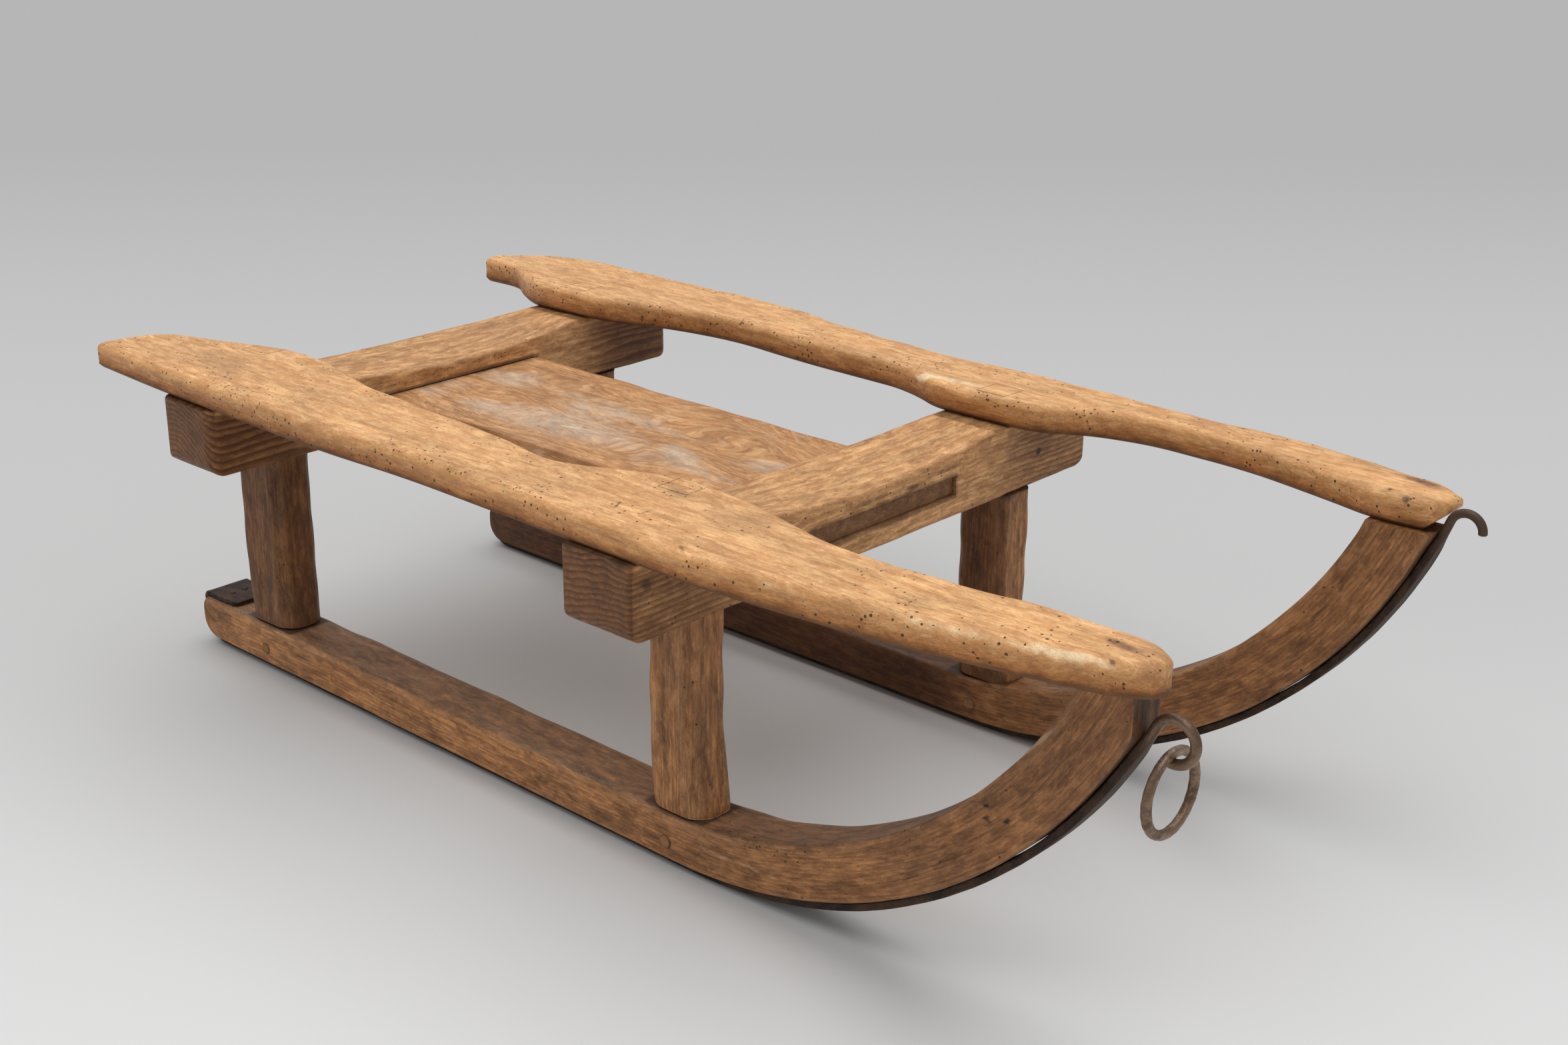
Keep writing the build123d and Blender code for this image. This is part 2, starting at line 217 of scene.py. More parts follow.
def rounded_ring(corners: Array, cuts: Array, bend_steps: int, side_steps: Sequence[int],
                 fade: float = 3.0) -> tuple[Array, Array]:
    """Closed sections with rounded corners.

    Each corner gives way to the quadratic curve that leaves one side a cut before it and joins the next
    side a cut after it, and each side is divided evenly.

    Args:
        corners: Corners of every section, (n, k, 2).
        cuts: How far each rounding reaches along its sides, (n, k).
        bend_steps: Points on each rounding.
        side_steps: Points between the roundings, for each of the k sides.
        fade: Distance over which a side stops being near a corner.

    Returns:
        The points (n, m, 2), and their nearness to a corner (n, m), from 1 on a rounding down to 0.
    """
    to_last = unit(np.roll(corners, 1, axis=1) - corners)
    to_next = unit(np.roll(corners, -1, axis=1) - corners)
    start = corners + to_last * cuts[..., None]
    end = corners + to_next * cuts[..., None]
    share = np.linspace(0, 1, bend_steps)[None, :, None]
    rings, nearness = [], []
    for index, steps in enumerate(side_steps):
        first, middle, last = (points[:, index, None] for points in (start, corners, end))
        rings.append(bent(first, middle, last, share))
        nearness.append(np.ones(rings[-1].shape[:2]))
        onward = start[:, (index + 1) % corners.shape[1], None]
        part = np.linspace(0, 1, steps + 2)[1:-1]
        rings.append(last + (onward - last) * part[None, :, None])
        length = np.linalg.norm(onward - last, axis=-1)
        nearness.append(np.exp(-np.minimum(part, 1 - part)[None] * length / fade))
    return np.concatenate(rings, axis=1), np.concatenate(nearness, axis=1)


def grid_normals(rings: Array) -> Array:
    """Outward or inward unit normals of closed rings: the cross product of the two grid directions."""
    around = np.roll(rings, -1, axis=1) - np.roll(rings, 1, axis=1)
    return unit(np.cross(np.gradient(rings, axis=0), around))


def pressed_in(rings: Array, depth: Array) -> Array:
    """Rings with each point moved towards its own section's inside by a depth.

    Args:
        rings: Points of the rings, (n, m, 3).
        depth: How far each point goes in, (n, m).

    Returns:
        The moved points.
    """
    normals = grid_normals(rings)
    outward = rings - rings.mean(axis=1, keepdims=True)
    facing = np.sign((normals * outward).sum(axis=(1, 2)))[:, None, None]
    return rings - normals * facing * depth[..., None]


def end_rows(values: Array, rows: int) -> Array:
    """Rings or their values with rows added at both ends, which shrink evenly to the end ring's middle.

    Args:
        values: Rings, or values at their points, (n, m, 3).
        rows: How many rows each end gets.

    Returns:
        The rings or values with the added rows.
    """
    share = (np.arange(rows) / rows).reshape((-1,) + (1,) * (values.ndim - 1))
    first, last = values[:1], values[-1:]
    first_middle, last_middle = (edge.mean(axis=1, keepdims=True) for edge in (first, last))
    return np.concatenate([
        first_middle + (first - first_middle) * share,
        values,
        last_middle + (last - last_middle) * share[::-1],
    ])


def to_outline(places: Array, outline: Array) -> Array:
    """Distance of each place in a plane from a closed outline: to the nearest of its straight steps.

    Args:
        places: Places, (..., 2).
        outline: Corners of the outline, (n, 2).

    Returns:
        One distance for each place.
    """
    step = np.roll(outline, -1, axis=0) - outline
    length = np.maximum((step * step).sum(axis=-1), 1e-12)
    nearest = np.full(places.shape[:-1], np.inf)
    for chunk in np.array_split(np.arange(len(outline)), 24):
        gap = places[..., None, :] - outline[chunk]
        share = np.clip((gap * step[chunk]).sum(axis=-1) / length[chunk], 0, 1)
        past = np.linalg.norm(gap - share[..., None] * step[chunk], axis=-1)
        nearest = np.minimum(nearest, past.min(axis=-1))
    return nearest


def near_zero(distance: Array, reach: float) -> Array:
    """1 at a distance of 0 or less, fading to 0 over a reach."""
    return np.exp(-np.maximum(distance, 0) / reach)


def ring_quads(rows: int, columns: int) -> Array:
    """Faces between neighbouring closed rings, as indices of their four points.

    Args:
        rows: How many rings there are.
        columns: How many points each ring has.

    Returns:
        The faces, (k, 4).
    """
    row, column = np.meshgrid(np.arange(rows - 1), np.arange(columns), indexing="ij")
    onward = (column + 1) % columns
    return stacked(row * columns + column, row * columns + onward,
                   (row + 1) * columns + onward, (row + 1) * columns + column).reshape(-1, 4)


def line_points(start: Sequence[float], end: Sequence[float], count: int) -> Array:
    """Points evenly along a straight run, without its last one."""
    share = np.linspace(0, 1, count, endpoint=False)[:, None]
    return np.asarray(start) + (np.asarray(end) - np.asarray(start)) * share


def arc_points(middle: Sequence[float], radius: float, start: float, end: float, count: int,
               last: bool = False) -> Array:
    """Points evenly along an arc between two angles in degrees, with or without its last one."""
    angle = np.radians(np.linspace(start, end, count, endpoint=last))
    return np.asarray(middle) + radius * stacked(np.cos(angle), np.sin(angle))


# Forms and pieces


@dataclass(frozen=True)
class Mark:
    """A soft-edged mark on a piece: where it is, its size and turn, and how dark, pale or grey it is."""

    station: float
    across: float
    length: float
    width: float
    turn: float = 0.0
    dark: float = 0.0
    pale: float = 0.0
    grey: float = 0.0

    def cover(self, first: Array, second: Array) -> Array:
        """Share of the mark at each place: a bell curve of the turned and scaled distance.

        Args:
            first: Places along the piece.
            second: Places across it, in the same shape.

        Returns:
            A share for each place, 1 in the mark's middle.
        """
        lean = math.radians(self.turn)
        right, up = first - self.station, second - self.across
        along = (right * math.cos(lean) + up * math.sin(lean)) / (self.length / 2)
        over = (up * math.cos(lean) - right * math.sin(lean)) / (self.width / 2)
        return np.exp(-((along ** 2 + over ** 2) ** 1.5))


def marks_over(marks: Sequence[Mark], first: Array, second: Array) -> Array:
    """Darkness, paleness and greyness of all the marks together, in the last axis.

    Args:
        marks: The marks.
        first: Places along the piece.
        second: Places across it.

    Returns:
        Three shares for each place, each the greatest of all the marks.
    """
    total = np.zeros(first.shape + (3,))
    for mark in marks:
        cover = mark.cover(first, second)[..., None]
        total = np.maximum(total, cover * np.array([mark.dark, mark.pale, mark.grey]))
    return total


@dataclass
class Form:
    """Points, faces and the values at each point that the finishes read.

    Attributes:
        places: Station, distance to the left and height of each point, (n, 3).
        quads: Indices of each face's points, (m, 4).
        grain: Places measured along the grain, across it and up from the heart, (n, 3).
        wear: Nearness to an arris; nearness to a joint, where grime and painted shade go; and nearness to an
            end, which also carries painted shade and darker tones, (n, 3).
        joint: Places measured from the nearest joint's middle, (n, 3).
        marks: Darkness, paleness and greyness of the marks, (n, 3).
    """

    places: Array
    quads: Array
    grain: Array
    wear: Array
    joint: Array
    marks: Array

    NAMES: ClassVar[tuple[str, ...]] = ("grain", "wear", "joint", "marks")

    @classmethod
    def from_rings(cls, rings: Array, grain: Array, wear: Array, joint: Array | None = None,
                   marks: Array | None = None, quads: Array | None = None, ends: int = 0) -> "Form":
        """Form of closed rings, (rows, columns, 3), with the values in arrays of the same shape.

        Args:
            rings: Points of the rings.
            grain: Their places in the grain.
            wear: Their nearness to an arris, a joint and an end; the last two also carry painted shade.
            joint: Their places from the nearest joint, or far off.
            marks: Their darkness, paleness and greyness, or none.
            quads: Faces, or those between the rings.
            ends: How many rows each end gets, which shrink to the end ring's middle.

        Returns:
            The form.
        """
        joint = np.full(rings.shape, FAR_OFF) if joint is None else joint
        marks = rings * 0 if marks is None else marks
        values = (rings, grain, wear, joint, marks)
        flat = [(end_rows(part, ends) if ends else part).reshape(-1, 3) for part in values]
        faces = ring_quads(rings.shape[0] + 2 * ends, rings.shape[1]) if quads is None else quads
        return cls(flat[0], faces, *flat[1:])

    @classmethod
    def joined(cls, forms: Sequence["Form"]) -> "Form":
        """Several forms as one.

        Args:
            forms: The forms.

        Returns:
            One form with all their points and faces.
        """
        starts = np.cumsum([0] + [len(form.places) for form in forms])
        quads = np.concatenate([form.quads + start for form, start in zip(forms, starts)])
        values = [np.concatenate([getattr(form, name) for form in forms])
                  for name in ("places",) + cls.NAMES]
        return cls(values[0], quads, *values[1:])

    def outward(self) -> "Form":
        """The form with its faces turned outwards, going by the sign of its volume.

        Returns:
            The form itself.
        """
        a, b, c, d = (self.places[self.quads[:, index]] for index in range(4))
        volume = (np.cross(b - a, c - a) * a).sum() + (np.cross(c - a, d - a) * a).sum()
        if volume < 0:
            self.quads = self.quads[:, ::-1]
        return self


@dataclass(frozen=True)
class Piece:
    """One finished piece: its name, form, material, body, slot and the nodes that it stands for."""

    name: str
    form: Form
    material: Material
    slot: str
    nodes: tuple[str, ...] = ()
    body: str = SLED_BODY
    crease: float = 34.0

    def mesh(self) -> bpy.types.Mesh:
        """Mesh in the frame's metres, with the form's values as attributes and its doubles merged.

        Returns:
            The mesh.
        """
        made = bpy.data.meshes.new(self.name)
        points = (self.form.places - np.array([ORIGIN_STATION, 0, 0])) * MM
        made.from_pydata(points.tolist(), [], self.form.quads.tolist())
        for title in Form.NAMES:
            values = getattr(self.form, title).astype(np.float32)
            made.attributes.new(title, "FLOAT_VECTOR", "POINT").data.foreach_set("vector", values.ravel())
        shell = bmesh.new()
        shell.from_mesh(made)
        bmesh.ops.remove_doubles(shell, verts=shell.verts, dist=2e-7)
        bmesh.ops.dissolve_degenerate(shell, edges=shell.edges, dist=1e-8)
        shell.to_mesh(made)
        shell.free()
        made.shade_smooth()
        made.set_sharp_from_angle(angle=math.radians(self.crease))
        return made

    def place(self) -> None:
        """Puts the piece into the scene, on its body and in place of its nodes."""
        made = bpy.data.objects.new(self.name, self.mesh())
        bpy.context.scene.collection.objects.link(made)
        made.data.materials.append(self.material)
        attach(made, self.body)
        if self.nodes:
            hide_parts(*self.nodes)
        log.info("%s: %d faces", self.name, len(made.data.polygons))


# Shader nodes


def linear(tint: Colour) -> tuple[float, float, float, float]:
    """Colour as the shader wants it, from the 0 to 255 values that a screen shows.

    Args:
        tint: Red, green and blue.

    Returns:
        The linear colour, with an alpha of 1.
    """
    shares = [value / 255 for value in tint]
    flat = [share / 12.92 if share <= 0.04045 else ((share + 0.055) / 1.055) ** 2.4 for share in shares]
    return flat[0], flat[1], flat[2], 1.0


class Bench:
    """Adds nodes to one shader tree and links them."""

    def __init__(self, tree: bpy.types.NodeTree) -> None:
        """Keeps the tree."""
        self.tree = tree

    def feed(self, socket: Socket, value: object) -> None:
        """Link a socket to another one, or set its value.

        Args:
            socket: The socket that is fed.
            value: Another socket, or a value.
        """
        if isinstance(value, Socket):
            self.tree.links.new(value, socket)
        else:
            socket.default_value = value

    def node(self, kind: str, inputs: dict[int | str, object] | None = None,
             **settings: object) -> bpy.types.Node:
        """A node of a kind, with its settings made and its inputs fed.

        Args:
            kind: Blender's name of the kind.
            inputs: A value or a socket for each input, by number or name.
            settings: The node's own settings, by name.

        Returns:
            The node.
        """
        made = self.tree.nodes.new(kind)
        for key, value in settings.items():
            setattr(made, key, value)
        for key, value in (inputs or {}).items():
            self.feed(made.inputs[key], value)
        return made

    def math(self, operation: str, first: object, second: object = 0.0) -> Socket:
        """Result of a sum on two numbers."""
        return self.node("ShaderNodeMath", {0: first, 1: second}, operation=operation).outputs[0]

    def product(self, first: object, second: object) -> Socket:
        """One number times another."""
        return self.math("MULTIPLY", first, second)

    def step(self, value: object, low: object, high: object, start: float = 0.0, end: float = 1.0) -> Socket:
        """Smooth step of a value, from start at low to end at high."""
        return self.node("ShaderNodeMapRange", {0: value, 1: low, 2: high, 3: start, 4: end},
                         interpolation_type="SMOOTHSTEP").outputs[0]

    def mix(self, share: object, first: object, second: object, blend: str = "MIX") -> Socket:
        """Colour between two colours."""
        made = self.node("ShaderNodeMix", {0: share, 6: first, 7: second}, data_type="RGBA", blend_type=blend)
        return made.outputs[2]

    def scaled(self, vector: Socket, along: float, across: float) -> Socket:
        """A place with its first coordinate divided by along and the others by across."""
        sizes = (1 / along, 1 / across, 1 / across)
        return self.node("ShaderNodeVectorMath", {0: vector, 1: sizes}, operation="MULTIPLY").outputs[0]

    def times(self, vector: object, factor: object) -> Socket:
        """A vector or a colour times a number."""
        return self.node("ShaderNodeVectorMath", {0: vector, 3: factor}, operation="SCALE").outputs[0]

    def noise(self, vector: Socket, detail: float = 3.0, roughness: float = 0.5,
              twist: float = 0.0) -> Socket:
        """Noise of about one unit's size at a place."""
        return self.node("ShaderNodeTexNoise", {"Vector": vector, "Scale": 1.0, "Detail": detail,
                                                "Roughness": roughness, "Distortion": twist}).outputs[0]

    def parts(self, vector: Socket) -> tuple[Socket, Socket, Socket]:
        """The three coordinates of a place."""
        made = self.node("ShaderNodeSeparateXYZ", {0: vector})
        return made.outputs[0], made.outputs[1], made.outputs[2]

    def total(self, *shares: tuple[object, float]) -> Socket:
        """Sum of values, each times its own weight.

        Args:
            shares: A value or a socket and its weight, for each.

        Returns:
            The sum.
        """
        result: object = 0.0
        for value, weight in shares:
            result = self.node("ShaderNodeMath", {0: value, 1: weight, 2: result},
                               operation="MULTIPLY_ADD").outputs[0]
        return result

    def attribute(self, title: str) -> Socket:
        """The vector kept at each point of a piece under a title."""
        return self.node("ShaderNodeAttribute", attribute_name=title).outputs["Vector"]


class Effect:
    """A shader node group with named sockets, built once and placed with each material's own values."""

    title: ClassVar[str] = ""
    takes: ClassVar[dict[str, object]] = {}
    gives: ClassVar[tuple[str, ...]] = ()

    def draw(self, bench: Bench, taken: bpy.types.NodeInputs) -> dict[str, Socket]:
        """Nodes of the group, and the socket behind each of its outputs."""
        raise NotImplementedError

    def build(self) -> bpy.types.NodeTree:
        """The node group, with a vector socket for each tuple taken and a number socket for the rest.

        Returns:
            The group's tree.
        """
        tree = bpy.data.node_groups.new(self.title, "ShaderNodeTree")
        for name, value in self.takes.items():
            kind = "NodeSocketVector" if isinstance(value, tuple) else "NodeSocketFloat"
            tree.interface.new_socket(name=name, in_out="INPUT", socket_type=kind).default_value = value
        for name in self.gives:
            tree.interface.new_socket(name=name, in_out="OUTPUT", socket_type="NodeSocketFloat")
        bench = Bench(tree)
        made = self.draw(bench, bench.node("NodeGroupInput").outputs)
        end = bench.node("NodeGroupOutput")
        for name in self.gives:
            bench.feed(end.inputs[name], made[name])
        return tree

    def place(self, bench: Bench, **values: object) -> bpy.types.NodeOutputs:
        """The group in a material, with its inputs fed by name, a blank in a name written as an underline.

        Args:
            bench: Bench of the material.
            values: A value or a socket for each input.

        Returns:
            The group's outputs.
        """
        group = bpy.data.node_groups.get(self.title) or self.build()
        made = bench.node("ShaderNodeGroup", node_tree=group)
        for name, value in values.items():
            bench.feed(made.inputs[name.replace("_", " ")], value)
        return made.outputs


class GrowthRings(Effect):
    """Year rings round the heart of the log, fine fibres along it and short dark pores."""

    title = "growth_rings"
    takes = {"Grain": (0.0, 0.0, 0.0), "Spacing": 2.6, "Waver": 3.0}
    gives = ("Ring", "Fibre", "Pore", "Streak")

    def draw(self, bench: Bench, taken: bpy.types.NodeInputs) -> dict[str, Socket]:
        """Rings by the distance from the heart, bent by slow noise; fibres and pores by stretched noise.

        Args:
            bench: Bench of the group.
            taken: Sockets of the group's inputs.

        Returns:
            The socket behind each output.
        """
        grain = taken["Grain"]
        _, across, up = bench.parts(grain)
        flat = bench.node("ShaderNodeCombineXYZ", {1: across, 2: up}).outputs[0]
        reach = bench.node("ShaderNodeVectorMath", {0: flat}, operation="LENGTH").outputs[1]
        slow = bench.noise(bench.scaled(grain, 150, 26), detail=2)
        bend = bench.product(bench.math("SUBTRACT", slow, 0.5), taken["Waver"])
        count = bench.math("ADD", bench.math("DIVIDE", reach, taken["Spacing"]), bend)
        saw = bench.math("FRACT", count)
        ring = bench.product(bench.step(saw, 0.1, 0.86), bench.step(saw, 0.86, 1.0, 1.0, 0.0))
        fibre = bench.noise(bench.scaled(grain, 26, 0.75), detail=3, roughness=0.6)
        streak = bench.noise(bench.scaled(grain, 120, 3.6), detail=3, roughness=0.55)
        pore = bench.step(bench.noise(bench.scaled(grain, 5, 0.32), detail=1), 0.64, 0.74)
        return {"Ring": ring, "Fibre": fibre, "Pore": pore, "Streak": streak}


class Mottled(Effect):
    """Uneven colour of old waxed wood: broad clouds, blots and specks, stretched a little along the grain."""

    title = "mottled"
    takes = {"Grain": (0.0, 0.0, 0.0), "Clouds": 0.5, "Blots": 0.5, "Specks": 0.3}
    gives = ("Factor", "Blot")

    def draw(self, bench: Bench, taken: bpy.types.NodeInputs) -> dict[str, Socket]:
        """One plus three noises about zero, each times its own strength.

        Args:
            bench: Bench of the group.
            taken: Sockets of the group's inputs.

        Returns:
            The socket behind each output.
        """
        grain = taken["Grain"]
        cloud = bench.noise(bench.scaled(grain, 60, 17), detail=2, roughness=0.55, twist=0.6)
        blot = bench.noise(bench.scaled(grain, 15, 5.2), detail=4, roughness=0.66, twist=0.5)
        speck = bench.noise(bench.scaled(grain, 3.0, 1.0), detail=4, roughness=0.72)
        factor: Socket | float = 1.0
        for noise, title in ((cloud, "Clouds"), (blot, "Blots"), (speck, "Specks")):
            part = bench.product(bench.math("SUBTRACT", noise, 0.5), taken[title])
            factor = bench.math("ADD", factor, bench.product(part, 2.0))
        return {"Factor": bench.math("MAXIMUM", factor, 0.12), "Blot": bench.step(blot, 0.3, 0.7)}


class WormHoles(Effect):
    """Small round holes scattered in clusters."""

    title = "worm_holes"
    takes = {"Place": (0.0, 0.0, 0.0), "Amount": 0.3, "Radius": 0.6}
    gives = ("Hole",)

    def draw(self, bench: Bench, taken: bpy.types.NodeInputs) -> dict[str, Socket]:
        """Balls round scattered points, kept where a slow noise and the point's own number allow.

        Args:
            bench: Bench of the group.
            taken: Sockets of the group's inputs.

        Returns:
            The socket behind each output.
        """
        cell = 3.6
        place = bench.scaled(taken["Place"], cell, cell)
        points = bench.node("ShaderNodeTexVoronoi", {"Vector": place, "Scale": 1.0}, feature="F1")
        distance = bench.product(points.outputs["Distance"], cell)
        luck, size, _ = bench.parts(points.outputs["Color"])
        cluster = bench.noise(bench.scaled(taken["Place"], 38, 24), detail=2)
        allowed = bench.product(taken["Amount"], bench.step(cluster, 0.4, 0.62))
        kept = bench.math("LESS_THAN", luck, allowed)
        radius = bench.product(taken["Radius"], bench.step(size, 0.0, 1.0, 0.6, 1.35))
        inside = bench.step(bench.math("DIVIDE", distance, radius), 0.72, 1.05, 1.0, 0.0)
        return {"Hole": bench.product(inside, kept)}


class RoughEdged(Effect):
    """A soft value broken up by noise, for worn arrises, grime and patches."""

    title = "rough_edged"
    takes = {"Value": 0.5, "Place": (0.0, 0.0, 0.0), "Size": 9.0, "Break": 0.8, "Low": 0.4, "High": 0.7}
    gives = ("Mask",)

    def draw(self, bench: Bench, taken: bpy.types.NodeInputs) -> dict[str, Socket]:
        """The value plus noise about zero, taken through a smooth step from Low to High.

        Args:
            bench: Bench of the group.
            taken: Sockets of the group's inputs.

        Returns:
            The socket behind each output.
        """
        place = bench.times(taken["Place"], bench.math("DIVIDE", 1.0, taken["Size"]))
        stretched = bench.scaled(place, 2.2, 1.0)
        speckle = bench.math("SUBTRACT", bench.noise(stretched, detail=5, roughness=0.62), 0.5)
        value = bench.math("ADD", taken["Value"], bench.product(speckle, taken["Break"]))
        return {"Mask": bench.step(value, taken["Low"], taken["High"])}


class JointLine(Effect):
    """A thin line round a joint that shows in a surface."""

    title = "joint_line"
    takes = {"Joint": (0.0, 0.0, 0.0), "Half Along": 12.0, "Half Across": 15.0, "Round": 0.0, "Width": 0.5}
    gives = ("Line",)

    def draw(self, bench: Bench, taken: bpy.types.NodeInputs) -> dict[str, Socket]:
        """Distance from a rectangle's outline, or from a circle's where Round is 1.

        Args:
            bench: Bench of the group.
            taken: Sockets of the group's inputs.

        Returns:
            The socket behind each output.
        """
        along, across, _ = bench.parts(taken["Joint"])
        past_along = bench.math("SUBTRACT", bench.math("ABSOLUTE", along), taken["Half Along"])
        past_across = bench.math("SUBTRACT", bench.math("ABSOLUTE", across), taken["Half Across"])
        square = bench.math("MAXIMUM", past_along, past_across)
        flat = bench.node("ShaderNodeCombineXYZ", {0: along, 1: across}).outputs[0]
        reach = bench.node("ShaderNodeVectorMath", {0: flat}, operation="LENGTH").outputs[1]
        circle = bench.math("SUBTRACT", reach, taken["Half Along"])
        keep_square = bench.product(square, bench.math("SUBTRACT", 1.0, taken["Round"]))
        past = bench.math("ADD", keep_square, bench.product(circle, taken["Round"]))
        return {"Line": bench.step(bench.math("ABSOLUTE", past), 0.0, taken["Width"], 1.0, 0.0)}


class HewnSkin(Effect):
    """Heights of a hand-worked wooden surface, in millimetres."""

    title = "hewn_skin"
    takes = {"Place": (0.0, 0.0, 0.0), "Fibre": 0.5, "Ring": 0.0, "Depth": 1.0}
    gives = ("Height",)

    def draw(self, bench: Bench, taken: bpy.types.NodeInputs) -> dict[str, Socket]:
        """Shallow waves of the blade, raised fibres and fine dents added up.

        Args:
            bench: Bench of the group.
            taken: Sockets of the group's inputs.

        Returns:
            The socket behind each output.
        """
        waves = bench.noise(bench.scaled(taken["Place"], 34, 9), detail=2)
        dents = bench.noise(bench.scaled(taken["Place"], 7, 2.4), detail=4, roughness=0.6)
        height = bench.total((waves, 0.9), (dents, 0.34), (taken["Fibre"], 0.2), (taken["Ring"], 0.06))
        return {"Height": bench.product(height, taken["Depth"])}


class IronSkin(Effect):
    """Forged and rusted iron: brown rust, bright rubbed spots and the height of its hammered face."""

    title = "iron_skin"
    takes = {"Place": (0.0, 0.0, 0.0), "Edge": 0.0}
    gives = ("Rust", "Bright", "Height")

    def draw(self, bench: Bench, taken: bpy.types.NodeInputs) -> dict[str, Socket]:
        """Rust by clouds, brightness along the edges broken by noise, height by clouds and pits.

        Args:
            bench: Bench of the group.
            taken: Sockets of the group's inputs.

        Returns:
            The socket behind each output.
        """
        place = taken["Place"]
        cloud = bench.noise(bench.scaled(place, 16, 9), detail=5, roughness=0.62)
        fine = bench.noise(bench.scaled(place, 2.4, 1.5), detail=4, roughness=0.65)
        rust = bench.step(bench.total((cloud, 0.8), (fine, 0.3)), 0.42, 0.68)
        rubbed = bench.total((taken["Edge"], 0.62), (fine, 0.5), (cloud, -0.1))
        bright = bench.step(rubbed, 0.58, 0.92)
        pits = bench.step(bench.noise(bench.scaled(place, 1.3, 1.1), detail=3), 0.3, 0.46)
        height = bench.total((cloud, 0.55), (fine, 0.22), (pits, 0.12))
        return {"Rust": rust, "Bright": bright, "Height": height}


# Finishes


def new_material(name: str) -> tuple[Material, Bench, bpy.types.Node]:
    """An empty material with what is needed to dress it.

    Args:
        name: Name of the material.

    Returns:
        The material, the bench of its tree and its shader.
    """
    made = bpy.data.materials.new(name)
    made.use_nodes = True
    return made, Bench(made.node_tree), made.node_tree.nodes["Principled BSDF"]


